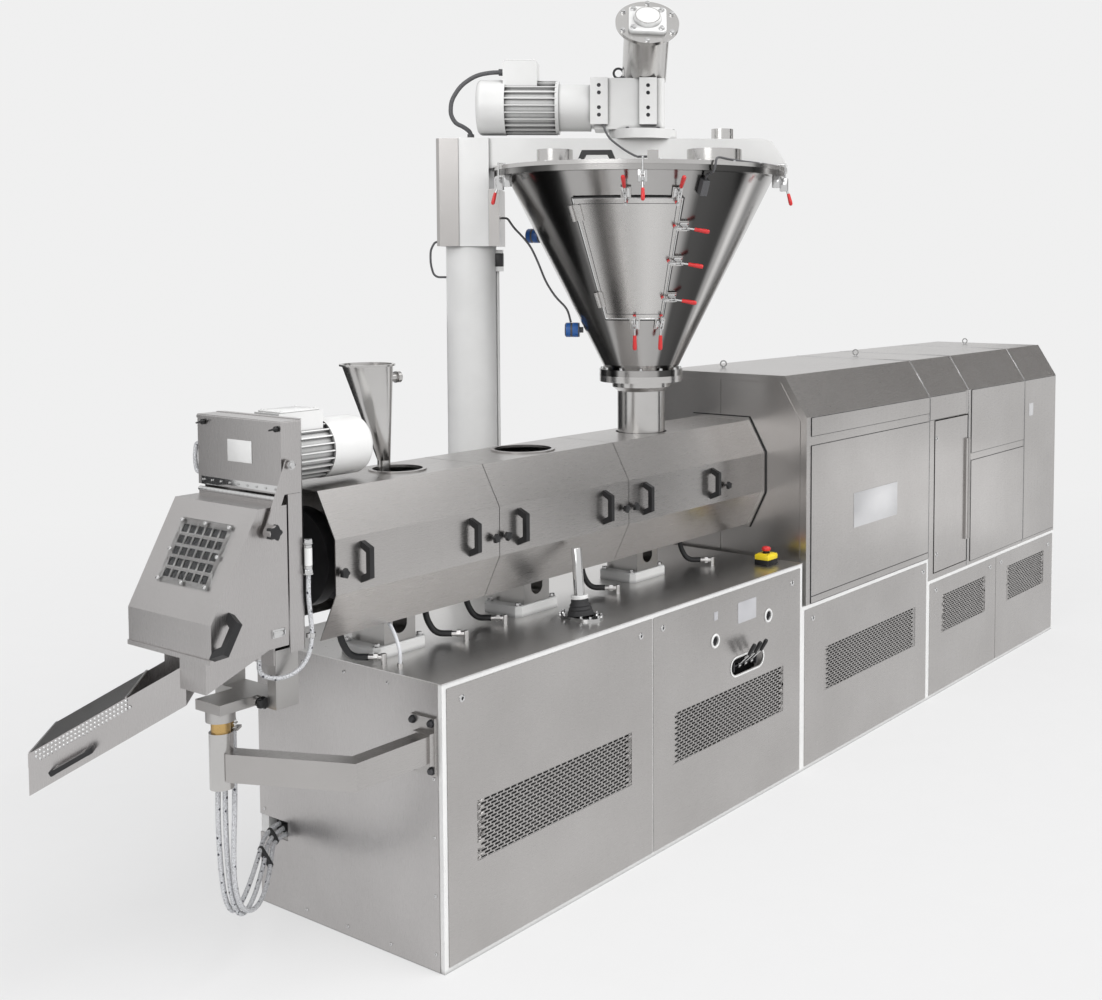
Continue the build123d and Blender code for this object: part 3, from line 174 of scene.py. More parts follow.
def braid(name, dark, light, cells, step):
    """Pale woven sleeve with dark tracer threads at even steps."""
    mat, tree, bsdf = new_finish(name)
    weave = pattern(tree, cells, (1, 1, 0.6), kind="ShaderNodeTexVoronoi")
    tracer = pattern(tree, step, kind="ShaderNodeTexVoronoi")
    pale = shade(tree, weave.outputs["Distance"], light, tuple(c * 0.55 for c in light))
    mark = limits(tree, tracer.outputs["Distance"], 0.17, 0.22)
    tree.links.new(blend(tree, mark, dark, pale), bsdf.inputs["Base Color"])
    tree.links.new(spread(tree, weave.outputs["Distance"], 0.28, 0.5), bsdf.inputs["Roughness"])
    relief(tree, bsdf, weave.outputs["Distance"], 0.6, -0.0010)
    bsdf.inputs["Metallic"].default_value = 0.25
    return mat


def line_finish(pale):
    """Black hoses low down, grey leads on the hopper, and one pale woven hose at the barrel's end."""
    mat, tree, bsdf = new_finish("lines_and_leads")
    where = tree.nodes.new("ShaderNodeTexCoord")
    part = tree.nodes.new("ShaderNodeSeparateXYZ")
    tree.links.new(where.outputs["Object"], part.inputs["Vector"])
    cooling = tree.nodes.new("ShaderNodeMath")
    cooling.operation = "COMPARE"
    cooling.inputs[1].default_value = -2.480
    cooling.inputs[2].default_value = 0.085
    tree.links.new(part.outputs["X"], cooling.inputs[0])
    ribs = pattern(tree, 700, detail=2.0)
    high = limits(tree, part.outputs["Z"], 1.68, 1.70)
    rubber = shade(tree, ribs.outputs["Fac"], (0.012, 0.012, 0.013), (0.030, 0.030, 0.031))
    lead = shade(tree, ribs.outputs["Fac"], (0.060, 0.060, 0.064), (0.120, 0.120, 0.125))
    plain = blend(tree, high, rubber, lead)
    tree.links.new(blend(tree, cooling.outputs[0], plain, pale), bsdf.inputs["Base Color"])
    tree.links.new(spread(tree, ribs.outputs["Fac"], 0.38, 0.60), bsdf.inputs["Roughness"])
    relief(tree, bsdf, ribs.outputs["Fac"], 0.4, 0.0002)
    return mat


def cone_with_painted_reflections(name, bands, rough):
    """Polished cone sheet with painted reflections: soft light and dark bands, painted into its colour, run
    down it, set by the angle round the hopper.
    """
    mat, tree, bsdf = new_finish(name)
    where = tree.nodes.new("ShaderNodeTexCoord")
    turn = tree.nodes.new("ShaderNodeMapping")
    turn.vector_type = "TEXTURE"
    turn.inputs["Location"].default_value = (HOPPER_X * MM, 0, 0)
    turn.inputs["Rotation"].default_value = (0, 0, BANDS_START)
    sweep = tree.nodes.new("ShaderNodeTexGradient")
    sweep.gradient_type = "RADIAL"
    ramp = tree.nodes.new("ShaderNodeValToRGB")
    ramp.color_ramp.interpolation = "EASE"
    steps = ramp.color_ramp.elements
    while len(steps) > 1:
        steps.remove(steps[-1])
    for i, (angle, tone) in enumerate(bands):
        step = steps[0] if i == 0 else steps.new(0.5 + angle / 360)
        step.position = 0.5 + angle / 360
        step.color = (tone, tone * 0.98, tone * 0.96, 1)
    tree.links.new(where.outputs["Object"], turn.inputs["Vector"])
    tree.links.new(turn.outputs["Vector"], sweep.inputs["Vector"])
    tree.links.new(sweep.outputs["Fac"], ramp.inputs["Fac"])
    tree.links.new(ramp.outputs["Color"], bsdf.inputs["Base Color"])
    line = pattern(tree, 1.0, (600, 600, 6), detail=3.0)
    tree.links.new(spread(tree, line.outputs["Fac"], *rough), bsdf.inputs["Roughness"])
    relief(tree, bsdf, line.outputs["Fac"], LINE_RELIEF, LINE_DEPTH)
    bsdf.inputs["Metallic"].default_value = 1.0
    return mat


def painted_corner_shade(mat, reach, tone):
    """Paints shade into a finish's colour: it darkens in gaps and inner corners, where ambient occlusion
    finds other surfaces close by.
    """
    tree = mat.node_tree
    paint = tree.nodes["Principled BSDF"].inputs["Base Color"]
    gap = tree.nodes.new("ShaderNodeAmbientOcclusion")
    gap.inputs["Distance"].default_value = reach
    share = limits(tree, gap.outputs["AO"], 0.25, 0.8)
    tree.links.new(blend(tree, share, tone, paint.links[0].from_socket), paint)
    return mat


def window_finish():
    """Clear plastic sheet, faintly smeared."""
    mat, tree, bsdf = new_finish("clear_sheet")
    smear = pattern(tree, 9.0, detail=4.0)
    tree.links.new(spread(tree, smear.outputs["Fac"], 0.01, 0.03), bsdf.inputs["Roughness"])
    bsdf.inputs["Base Color"].default_value = (0.97, 0.98, 0.98, 1)
    bsdf.inputs["Transmission Weight"].default_value = 1.0
    bsdf.inputs["Specular IOR Level"].default_value = 0.2
    bsdf.inputs["IOR"].default_value = 1.1
    return mat


SHEET_H = brushed_sheet("stainless_sheet_lengthways", (0.45, 0.435, 0.425), (0.51, 0.495, 0.485),
                        (0.25, 0.33), (20, 2200, 2200))
SHEET_V = brushed_sheet("stainless_sheet_upright", (0.47, 0.455, 0.45), (0.53, 0.515, 0.51),
                        (0.25, 0.33), (2200, 2200, 20))
TABLE_SHEET = brushed_sheet("stainless_table", (0.66, 0.65, 0.64), (0.72, 0.71, 0.70),
                            (0.27, 0.38), (1200, 20, 1200))
# angles round the hopper from BANDS_START, and the tone of the painted reflection at each
CONE_REFLECTION_BANDS = ((-180, 0.35), (-150, 0.12), (-120, 0.5), (-95, 0.25), (-78, 0.55), (-66, 0.12), (-58, 0.3),
              (-46, 0.05), (-36, 0.10), (-30, 0.42), (0, 0.45), (20, 0.40), (27, 0.08), (46, 0.05),
              (51, 0.35), (55, 0.6), (62, 0.2), (75, 0.5), (95, 0.3), (120, 0.5), (150, 0.12), (180, 0.35))
HATCH_REFLECTION_BANDS = ((-40, 0.4), (-28, 0.55), (-19, 0.22), (-9, 0.5), (5, 0.64), (20, 0.52), (40, 0.4))
CONE_SHEET = cone_with_painted_reflections("stainless_cone", CONE_REFLECTION_BANDS, (0.14, 0.22))
HATCH_SHEET = cone_with_painted_reflections("stainless_hatch", HATCH_REFLECTION_BANDS, (0.22, 0.30))
TURNED = brushed_sheet("stainless_turned", (0.52, 0.51, 0.50), (0.62, 0.61, 0.60),
                       (0.16, 0.26), (60, 60, 900))
SATIN = brushed_sheet("satin_steel", (0.48, 0.47, 0.46), (0.56, 0.55, 0.54), (0.30, 0.42), (700, 60, 700))
CHROME = coat("polished_steel", (0.60, 0.60, 0.60), (0.68, 0.68, 0.68), (0.10, 0.18), 900, 0.00002,
              metallic=1.0)
DARK = coat("oiled_steel", (0.050, 0.050, 0.055), (0.10, 0.10, 0.105), (0.35, 0.55), 400, 0.0001,
            metallic=0.9)
WHITE = coat("white_paint", (0.70, 0.70, 0.69), (0.75, 0.75, 0.74), (0.30, 0.42), 700, 0.00004, gloss=0.25)
# painted shade: the white paint darkens in its gaps and inner corners
painted_corner_shade(WHITE, 0.03, (0.06, 0.06, 0.06))
BLACK = coat("black_moulding", (0.006, 0.006, 0.007), (0.013, 0.013, 0.014), (0.28, 0.42), 1500, 0.00006)
RUBBER = coat("black_rubber", (0.016, 0.016, 0.017), (0.035, 0.035, 0.036), (0.55, 0.75), 900, 0.0001)
BRASS = coat("turned_brass", (0.52, 0.34, 0.13), (0.66, 0.45, 0.19), (0.22, 0.36), 600, 0.00004, metallic=1.0)
RED = coat("red_grip", (0.52, 0.012, 0.014), (0.66, 0.022, 0.022), (0.30, 0.42), 1200, 0.00003, gloss=0.4)
BLUE = coat("blue_cap", (0.012, 0.09, 0.34), (0.02, 0.13, 0.44), (0.34, 0.46), 1200, 0.00003, gloss=0.3)
YELLOW = coat("yellow_case", (0.80, 0.60, 0.01), (0.88, 0.68, 0.02), (0.34, 0.46), 1200, 0.00003, gloss=0.3)
PLATE = coat("grey_plate", (0.50, 0.50, 0.52), (0.56, 0.56, 0.58), (0.34, 0.44), 800, 0.00003, metallic=0.4)
LABEL = coat("label_sheet", (0.62, 0.62, 0.63), (0.68, 0.68, 0.69), (0.30, 0.40), 800, 0.00003, metallic=0.6)
SLEEVE = braid("braided_sleeve", (0.035, 0.035, 0.05), (0.72, 0.73, 0.75), 420, 46)
LINES = line_finish((0.62, 0.63, 0.65))
WINDOW = window_finish()

NODE_FINISH = {
    SHEET_H: ["front_panel_1", "front_panel_2", "front_panel_3", "front_panel_4", "front_panel_5",
              "rear_panels", "housing_front", "housing_door_bay", "housing_middle", "housing_end",
              "housing_panels", "cabinet_door", "barrel_cover_1", "barrel_cover_2", "barrel_cover_3",
              "swing_arm", "column_head"],
    SHEET_V: ["end_panel", "cutter_hood", "drive_box", "back_plate", "outlet_trough", "discharge_chute",
              "stay_bar"],
    TABLE_SHEET: ["table_top"],
    CONE_SHEET: ["hopper_cone"],
    HATCH_SHEET: ["hopper_hatch"],
    TURNED: ["hopper_neck", "hopper_lid", "bearing_tube", "post_sleeve", "side_funnel"],
    WHITE: ["base_frame", "saddle_plates", "column", "hopper_arm", "gearbox", "drive_motor", "cutter_motor"],
    SATIN: ["pelletizer_carrier", "barrel_saddles"],
    CHROME: ["clamp_post", "hatch_clamps", "lid_clamps"],
    DARK: ["barrel", "valve_bank"],
    BLACK: ["cover_handles", "hood_handle", "valve_lever_1", "valve_lever_2", "valve_lever_3"],
    LINES: ["service_lines"],
    BRASS: ["post_bushing"],
    SLEEVE: ["water_hoses", "drain_hose_1", "drain_hose_2", "drain_hose_3"],
    YELLOW: ["emergency_stop"],
    WINDOW: ["hood_window"],
    PLATE: ["front_grilles"],
}
for finish, names in NODE_FINISH.items():
    for name in names:
        nodes[name].data.materials.clear()
        nodes[name].data.materials.append(finish)


# mesh tools, all in millimetres until a piece is finished

HERE = Matrix.Identity(4)
SHARP_ANGLE = radians(40)


def seat(at, out=(0, 0, 1), up=(0, 0, 1), turn=0.0):
    """A place on a surface: its z stands out of the surface and its y is as near to up as it can be."""
    z = Vector(out).normalized()
    y = Vector(up) - z * z.dot(Vector(up))
    if y.length < 0.01:
        y = Vector((0, 1, 0)) - z * z.y
    y.normalize()
    x = y.cross(z)
    place = Matrix((x, y, z)).transposed().to_4x4()
    place.translation = Vector(at)
    return place @ Matrix.Rotation(radians(turn), 4, "Z")


def put(target, shape, place=HERE):
    """Copies a small shape into a piece."""
    mesh = bpy.data.meshes.new("copy")
    shape.to_mesh(mesh)
    mesh.transform(place)
    target.from_mesh(mesh)
    bpy.data.meshes.remove(mesh)


def rounded(bm, edges, width):
    """Rounds some edges in two steps."""
    bmesh.ops.bevel(bm, geom=edges, offset=width, affect="EDGES", segments=2, profile=0.5, material=-1)


def box(size, edge=0.0, at=(0, 0, 0)):
    """A block with its edges rounded."""
    bm = bmesh.new()
    bmesh.ops.create_cube(bm, size=1.0, matrix=Matrix.Translation(at) @ Matrix.Diagonal((*size, 1)))
    if edge:
        rounded(bm, bm.edges[:], edge)
    return bm


def closed(bm):
    """Merges what meets, then points the faces outwards."""
    bmesh.ops.remove_doubles(bm, verts=bm.verts, dist=0.001)
    bmesh.ops.recalc_face_normals(bm, faces=bm.faces)
    return bm


def turned(profile, steps=24):
    """An (r, z) outline spun about z."""
    bm = bmesh.new()
    line = [bm.verts.new((r, 0, z)) for r, z in profile]
    edges = [bm.edges.new(pair) for pair in zip(line, line[1:])]
    bmesh.ops.spin(bm, geom=line + edges, axis=(0, 0, 1), cent=(0, 0, 0), angle=2 * pi, steps=steps,
                   use_merge=True)
    return closed(bm)


def drawn(outline, height, edge=0.0):
    """A flat (x, y) outline raised to a height, its top edge rounded."""
    bm = bmesh.new()
    face = bm.faces.new([bm.verts.new((x, y, 0)) for x, y in outline])
    top = bmesh.ops.extrude_face_region(bm, geom=[face])
    verts = [v for v in top["geom"] if isinstance(v, bmesh.types.BMVert)]
    bmesh.ops.translate(bm, verts=verts, vec=(0, 0, height))
    bmesh.ops.recalc_face_normals(bm, faces=bm.faces)
    if edge:
        rim = [e for e in bm.edges if all(v.co.z > height - 0.001 for v in e.verts)]
        rounded(bm, rim, edge)
    return bm


def loft(rings):
    """Skins a row of closed rings of equal count."""
    bm = bmesh.new()
    rows = [[bm.verts.new(point) for point in ring] for ring in rings]
    for a, b in zip(rows, rows[1:]):
        for i in range(len(a)):
            bm.faces.new((a[i - 1], a[i], b[i], b[i - 1]))
    return closed(bm)


def stadium(half, radius):
    """A round-ended outline in (x, y)."""
    points = []
    for side in (1, -1):
        for a in range(-90, 91, 15):
            points.append((side * (half + radius * cos(radians(a))), side * radius * sin(radians(a))))
    return points


def bar(start, end, radius, steps=12):
    """A round bar between two points, its ends softened."""
    run = Vector(end) - Vector(start)
    soft = min(radius * 0.3, run.length * 0.2)
    shape = turned([(0, 0), (radius - soft, 0), (radius, soft), (radius, run.length - soft),
                    (radius - soft, run.length), (0, run.length)], steps)
    bm = bmesh.new()
    put(bm, shape, seat(start, run))
    return bm


def hex_head(width, height):
    """A bolt head on its washer."""
    ring = [(width / 2 * cos(pi / 3 * i), width / 2 * sin(pi / 3 * i)) for i in range(6)]
    bm = turned([(0, 0), (width * 0.62, 0), (width * 0.62, height * 0.22), (0, height * 0.22)], 12)
    put(bm, drawn(ring, height, height * 0.18))
    return bm


def cap_screw(width):
    """A low round head, dished in the middle."""
    r = width / 2
    return turned([(0, r * 0.30), (r * 0.34, r * 0.34), (r * 0.42, r * 0.62), (r * 0.80, r * 0.55),
                   (r, r * 0.25), (r, 0)], 10)


def lock_bezel():
    """The dished ring of a quarter-turn lock."""
    return turned([(5, 0), (5, 3), (6, 4.4), (9.5, 4.4), (12.4, 2.4), (13, 0)], 16)


def lock_core():
    """The keyed core that sits in the ring."""
    bm = turned([(0, 2), (5, 2), (5, 0)], 12)
    for size in ((8.5, 2.2, 1.6), (2.2, 8.5, 1.6)):
        put(bm, box(size, 0.3, (0, 0, 2.6)))
    return bm


def star_knob(radius, height, stem):
    """A five-lobed knob on a threaded stem, standing on z = 0."""
    ring = []
    for i in range(20):
        a = 2 * pi * i / 20
        r = radius * (0.86 + 0.14 * cos(5 * a))
        ring.append((r * cos(a), r * sin(a)))
    bm = turned([(0, 0), (radius * 0.28, 0), (radius * 0.28, stem), (radius * 0.5, stem),
                 (radius * 0.5, stem + 2)], 12)
    put(bm, drawn(ring, height, height * 0.22), Matrix.Translation((0, 0, stem + 1)))
    return bm


def eye_bolt(radius):
    """A lifting eye on its collar."""
    bm = bmesh.new()
    high = radius * 1.5
    start = Matrix.Translation((radius, 0, high)) @ Matrix.Rotation(pi / 2, 4, "X")
    loop = bmesh.ops.create_circle(bm, segments=10, radius=radius * 0.24, matrix=start)
    geom = loop["verts"] + list(bm.edges)
    bmesh.ops.spin(bm, geom=geom, axis=(0, 1, 0), cent=(0, 0, high), angle=2 * pi, steps=20,
                   use_merge=True)
    closed(bm)
    stem = [(0, 0), (0.8, 0), (0.8, 0.2), (0.4, 0.34), (0.3, 0.6)]
    put(bm, turned([(r * radius, z * radius) for r, z in stem], 14))
    return bm


def piece(name, bm, finish, body="machine", slot="stainless", replaces=()):
    """Finishes a piece: millimetres to metres, finish, shading, and the body it rides on."""
    bmesh.ops.scale(bm, vec=(MM, MM, MM), verts=bm.verts)
    mesh = bpy.data.meshes.new(name)
    bm.to_mesh(mesh)
    bm.free()
    mesh.materials.append(finish)
    mesh.polygons.foreach_set("use_smooth", [True] * len(mesh.polygons))
    mesh.set_sharp_from_angle(angle=SHARP_ANGLE)
    obj = bpy.data.objects.new(name, mesh)
    bpy.context.scene.collection.objects.link(obj)
    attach(obj, body)
    if replaces:
        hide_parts(*replaces)
    return obj


def scattered(name, shape, places, finish, body="machine", slot="stainless", **more):
    """One piece made of many copies of a small shape."""
    bm = bmesh.new()
    for place in places:
        put(bm, shape, place)
    return piece(name, bm, finish, body, slot, **more)


# hoses that hang from the post into the base

DRAIN_ROUTES = (
    ((-3057, 50, 826), (-3057, 50, 695), (-3061, 51, 545), (-3055, 52, 390), (-3033, 62, 262),
     (-2972, 98, 194), (-2872, 172, 208), (-2765, 255, 258), (-2645, 362, 301), (-2560, 362, 301)),
    ((-3043, 34, 826), (-3043, 34, 695), (-3047, 33, 545), (-3043, 32, 385), (-3018, 44, 250),
     (-2955, 82, 182), (-2858, 152, 190), (-2752, 241, 240), (-2645, 344, 286), (-2560, 344, 286)),
    ((-3030, 5, 826), (-3030, 5, 695), (-3034, 4, 560), (-3041, 6, 430), (-3030, 16, 310), (-2982, 44, 222),
     (-2898, 90, 182), (-2798, 168, 192), (-2705, 260, 242), (-2645, 325, 271), (-2560, 325, 271)),
)
TIES_X = (-2730, -2645)
tie_spots = {x: [] for x in TIES_X}
for i, route in enumerate(DRAIN_ROUTES):
    curve = bpy.data.curves.new(f"drain_hose_{i + 1}_sleeve", "CURVE")
    curve.dimensions = "3D"
    curve.bevel_depth = 0.008
    curve.bevel_resolution = 4
    curve.use_fill_caps = True
    line = curve.splines.new("NURBS")
    line.points.add(len(route) - 1)
    for point, (x, y, z) in zip(line.points, route):
        point.co = (x * MM, y * MM, z * MM, 1)
    line.order_u = 3
    line.use_endpoint_u = True
    line.resolution_u = 10
    curve.materials.append(SLEEVE)
    hose = bpy.data.objects.new(curve.name, curve)
    bpy.context.scene.collection.objects.link(hose)
    bare = curve.copy()
    bare.bevel_depth = 0.0
    bare_line = bpy.data.objects.new("bare_line", bare)
    along = [v.co / MM for v in bpy.data.meshes.new_from_object(bare_line).vertices]
    bpy.data.objects.remove(bare_line)
    for x in TIES_X:
        tie_spots[x].append(min(along[len(along) // 3:], key=lambda p: abs(p.x - x)))
    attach(hose, "machine")
    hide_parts(f"drain_hose_{i + 1}")


# perforated fields in the lower panels

GRILLES_X = ((-2448.0, -1635.0), (-1380.0, -568.0), (-222.0, 704.0), (1014.0, 1571.0), (1871.0, 2438.0))
GRILLE_Z = 320.0
GRILLE_Y = -454.0
SLOT_PITCH = 32.0
SLOT_ROWS = 18
SLOT_ROW = 200.0 / SLOT_ROWS
SLOT_LONG = 27.0
SLOT_HIGH = 7.2


def grille_cell():
    """One cell of sheet with a round-ended slot, on the plane y = 0."""
    bm = bmesh.new()
    half = SLOT_HIGH / 2
    inner = []
    for side in (1, -1):
        for a in (-90, -45, 0, 45, 90):
            x = SLOT_LONG / 2 - half + half * cos(radians(a))
            inner.append((side * x, side * half * sin(radians(a))))
    wide, high = SLOT_PITCH / 2, SLOT_ROW / 2
    outer = [(wide, -high), (wide, 0), (wide, high), (-wide, high), (-wide, 0), (-wide, -high)]
    rings = []
    for ring in (inner, outer):
        verts = [bm.verts.new((x, 0, z)) for x, z in ring]
        rings += [bm.edges.new((a, b)) for a, b in zip(verts, verts[1:] + verts[:1])]
    bmesh.ops.bridge_loops(bm, edges=rings)
    return bm


for i, (x0, x1) in enumerate(GRILLES_X):
    count = int((x1 - x0) / SLOT_PITCH) - 1
    cell = grille_cell()
    bm = bmesh.new()
    start = (x0 + x1) / 2 - SLOT_PITCH * count / 2 + SLOT_PITCH / 4
    left = start - SLOT_PITCH / 2
    for row in range(SLOT_ROWS):
        z = GRILLE_Z + SLOT_ROW * (row + 0.5)
        shift = (row % 2) * SLOT_PITCH / 2
        for col in range(count):
            put(bm, cell, Matrix.Translation((start + shift + SLOT_PITCH * col, GRILLE_Y, z)))
        low, high = z - SLOT_ROW / 2, z + SLOT_ROW / 2
        for a, b in ((x0, left + shift), (left + shift + SLOT_PITCH * count, x1)):
            corners = [(a, low), (b, low), (b, high), (a, high)]
            bm.faces.new([bm.verts.new((x, GRILLE_Y, h)) for x, h in corners])
    bmesh.ops.remove_doubles(bm, verts=bm.verts, dist=0.01)
    bmesh.ops.recalc_face_normals(bm, faces=bm.faces)
    grille = piece(f"grille_{i + 1}", bm, SHEET_H, replaces=["front_grilles"])
    thick = grille.modifiers.new("thickness", "SOLIDIFY")
    thick.thickness = 0.0015
    thick.offset = 0.0


# locks, screws, lifting eyes, knobs and a gasket on the base and the housing

LOCKS = ((-2512, 874), (-1578, 869), (-1441, 870), (-499, 867), (-318, 675), (787, 683), (942, 560),
         (1635, 558), (1789, 559), (2510, 544))


def locks(name, spots, body="machine"):
    """Quarter-turn locks: bright rings with dark keyed cores."""
    places = [seat((x, FRONT_Y, z), FRONT) for x, z in spots]
    scattered(name + "_rings", lock_bezel(), places, CHROME, body)
    scattered(name + "_cores", lock_core(), places, DARK, body, "dark_steel")


locks("panel_lock", LOCKS)
edge_screws = []
for y, heights in ((-418, (60, 250, 440, 630, 820)), (430, (60, 200, 340, 520, 700, 880))):
    for z in heights:
        edge_screws.append(seat((END_X, y, z), LEFT))
for y in (-210, 0, 210):
    for z in (34, 903):
        edge_screws.append(seat((END_X, y, z), LEFT))
scattered("end_panel_screws", cap_screw(12), edge_screws, CHROME)

roof = []
for x, y in ((-139, 151), (1006, 65), (2400, 60)):
    roof.append(seat((x, y, 1758), (0, 0, 1), turn=-52))
scattered("roof_eyes", eye_bolt(14), roof, CHROME)

COVER_KNOBS = (-2798, -2124, -2066, -1392, -1332, -680)
knobs = []
for i, x in enumerate(COVER_KNOBS):
    for side in (-1, 1):
        knobs.append(seat((x, 226 * side, 1300), (0, side, 0), turn=20 * i))
scattered("cover_knobs", star_knob(17, 14, 12), knobs, BLACK, slot="black_plastic")


def octagon(over):
    """The covers' outline in (y, z), widened."""
    half = [(-150 - 0.6 * over, 1078 - 0.8 * over), (-226 - over, 1232 - 0.3 * over),
            (-226 - over, 1405 + 0.5 * over), (-145 - 0.6 * over, 1549 + over)]
    return half + [(-y, z) for y, z in reversed(half)]


section = ((-375.2, 13), (-380, 13), (-380, 18), (-375.2, 18), (-375.2, 13))
rings = [[(x, y, z) for y, z in octagon(over)] for x, over in section]
piece("cover_gasket", loft(rings), RUBBER, slot="black_plastic")

# seams of the housing's panels and bright strips over its joints

SIDE_PANELS = ((-334, 844, 776, 1449), (-334, 844, 1493, 1574), (-334, 844, 744, 772),
               (1366, 2100, 640, 1190), (1366, 2100, 1232, 1574), (2112, 2590, 640, 1574),
               (856, 1290, 1455, 1574))
bm = bmesh.new()
for x0, x1, z0, z1 in SIDE_PANELS:
    for y in (-453.4, 453.4):
        for z in (z0 - 1.2, z1 + 1.2):
            put(bm, box((x1 - x0, 2.6, 2.2), 0.0, ((x0 + x1) / 2, y, z)))
        for x in (x0 - 1.2, x1 + 1.2):
            put(bm, box((2.2, 2.6, z1 - z0), 0.0, (x, y, (z0 + z1) / 2)))
piece("panel_seams", bm, RUBBER, slot="black_plastic")
bm = bmesh.new()
for x, foot in ((850, 744), (1328, 624), (2106, 624)):
    for dx in (-3.4, 3.4):
        for side in (-1, 1):
            put(bm, box((2.4, 3, 1576 - foot), 0.6, (x + dx, 453 * side, (1576 + foot) / 2)))
            slope = seat((x + dx, 394.5 * side, 1668), (0, 180 * side, 115), (0, -115 * side, 180))
            put(bm, box((2.4, 214, 3), 0.6), slope)
        put(bm, box((2.4, 676, 3), 0.6, (x + dx, 0, 1758)))
piece("joint_strips", bm, CHROME)
# a black sheet behind the grilles: painted shade seen through their slots
bm = bmesh.new()
for x0, x1 in GRILLES_X:
    put(bm, box((x1 - x0 + 14, 1.5, 212), 0.0, ((x0 + x1) / 2, -438, 420)))
piece("grille_slot_shade", bm, RUBBER, slot="black_plastic")

# clamps and caps on the hopper

# how far the clamps' feet stand off the cone
CLAMP_SEAT = 12.3


def on_cone(angle, z, off, turn=0.0):
    """A place on the hopper's wall: x to the right round it, y up it, z out of it."""
    a = radians(angle)
    out = Vector((cos(CONE_LEAN) * cos(a), cos(CONE_LEAN) * sin(a), -sin(CONE_LEAN)))
    across = Vector((-sin(a), cos(a), 0))
    radius = cone_radius(z) + off
    place = Matrix((across, out.cross(across), out)).transposed().to_4x4()
    place.translation = (radius * cos(a), radius * sin(a), z)
    return HOPPER @ place @ Matrix.Rotation(radians(turn), 4, "Z")


def toggle_clamp():
    """Base, cheeks, pressing arm with rubber-tipped spindle, and lever."""
    bm = box((36, 32, 4), 1.2, (0, 0, 2))
    for y in (-5, 5):
        put(bm, box((30, 3, 24), 1.0, (0, y, 15)))
    put(bm, box((48, 7, 7), 2.0, (-22, 0, 19)))
    put(bm, bar((-40, 0, 4), (-40, 0, 32), 3.2, 10))
    for z in (17, 25):
        put(bm, hex_head(11, 4), Matrix.Translation((-40, 0, z)))
    for x in (-8, 8):
        put(bm, bar((x, -8, 20), (x, 8, 20), 3.0, 10))
    put(bm, bar((6, 0, 20), (42, 0, 32), 4.2, 10))
    return bm


def clamp_grip():
    """Red sleeve on a clamp's lever."""
    start = Vector((34, 0, 29))
    run = Vector((90, 0, 52)) - start
    length = run.length
    profile = [(0, 0), (6.2, 0), (7.4, 3), (7.8, length * 0.3), (9.0, length * 0.75), (8.6, length - 5),
               (6.0, length - 1), (0, length)]
    bm = bmesh.new()
    put(bm, turned(profile, 14), seat(start, run))
    put(bm, turned([(0, 0), (6, 0), (6.5, 3), (4, 5), (0, 5)], 12), Matrix.Translation((-40, 0, 0.5)))
    return bm


clamp_places = [on_cone(a, 2010, CLAMP_SEAT, -90) for a in (-95, -73)]
clamp_places += [on_cone(a, 2526, CLAMP_SEAT, 90) for a in (-96, -74)]
clamp_places += [on_cone(-71 + degrees(20 / cone_radius(z)), z, CLAMP_SEAT) for z in (2120, 2265, 2400)]
scattered("hatch_clamp_irons", toggle_clamp(), clamp_places, CHROME, "hatch", replaces=["hatch_clamps"])
scattered("hatch_clamp_grips", clamp_grip(), clamp_places, RED, "hatch", "black_plastic")


def hatch_line(inset, drop, off, radius):
    """A round bead inside the hatch's border: across both ends and up both sides."""
    bm = bmesh.new()
    left, right = -121 + inset, -71 - inset
    low, high = 2030 + drop, 2506 - drop
    for z in (low, high):
        spots = [on_cone(left + (right - left) * i / 10, z, off).translation for i in range(11)]
        for a, b in zip(spots, spots[1:]):
            put(bm, bar(a, b, radius, 6))
    for angle in (left, right):
        ends = [on_cone(angle, z, off).translation for z in (low, high)]
        put(bm, bar(*ends, radius, 6))
    return bm


piece("hatch_bead", hatch_line(0.5, 3, 12.2, 2.4), CHROME, "hatch")
# a thin dark bar along the hatch's fold: painted shade in the crease
piece("hatch_fold_shade", hatch_line(2.6, 22, 12.0, 1.2), DARK, "hatch", "dark_steel")
piece("hatch_gap", hatch_line(-0.4, -2, 8.0, 3.0), RUBBER, "hatch", "black_plastic")


def hook_clamp():
    """Base under the rim, hook rod over the lid, and lever."""
    rim = CONE_RIM_Z
    bm = box((32, 36, 47), 2.0, (588, 0, rim - 24.2))
    for y in (-7, 7):
        put(bm, box((32, 3, 52), 1.2, (618, y, rim - 36)))
    put(bm, bar((622, 0, rim - 20), (622, 0, 2656), 4))
    put(bm, bar((625, 0, 2653), (594, 0, 2653), 4))
    put(bm, bar((598, 0, 2655), (598, 0, 2646.4), 4))
    put(bm, bar((622, -10, rim - 20), (622, 10, rim - 20), 4))
    put(bm, bar((628, 0, rim - 48), (638, 0, rim - 92), 4))
    return bm


lid_places = [HOPPER @ Matrix.Rotation(radians(a), 4, "Z") for a in (-155, -89, -20, 40, 100)]
scattered("lid_clamp_irons", hook_clamp(), lid_places, CHROME, replaces=["lid_clamps"])
grip = bmesh.new()
put(grip, turned([(0, 0), (5.5, 0), (6.6, 4), (8, 34), (7.6, 44), (4, 49), (0, 49.5)], 14),
    seat((636, 0, CONE_RIM_Z - 72), (12, 0, -47)))
scattered("lid_clamp_grips", grip, lid_places, RED, slot="black_plastic")

cap = turned([(0, 85), (24, 85), (30.5, 79), (30.8, 62), (28.5, 60), (28.5, 54), (30.8, 52), (30.8, 30),
              (26, 23.5), (0, 23.5)], 28)
cap_places = []
for angle, z in ((180, 1977), (160, 2374)):
    out = Vector((cos(radians(angle)), sin(radians(angle)), 0))
    cap_places.append(HOPPER @ seat(out * cone_radius(z) + Vector((0, 0, z)), out))
scattered("sensor_caps", cap, cap_places, BLUE, slot="black_plastic")

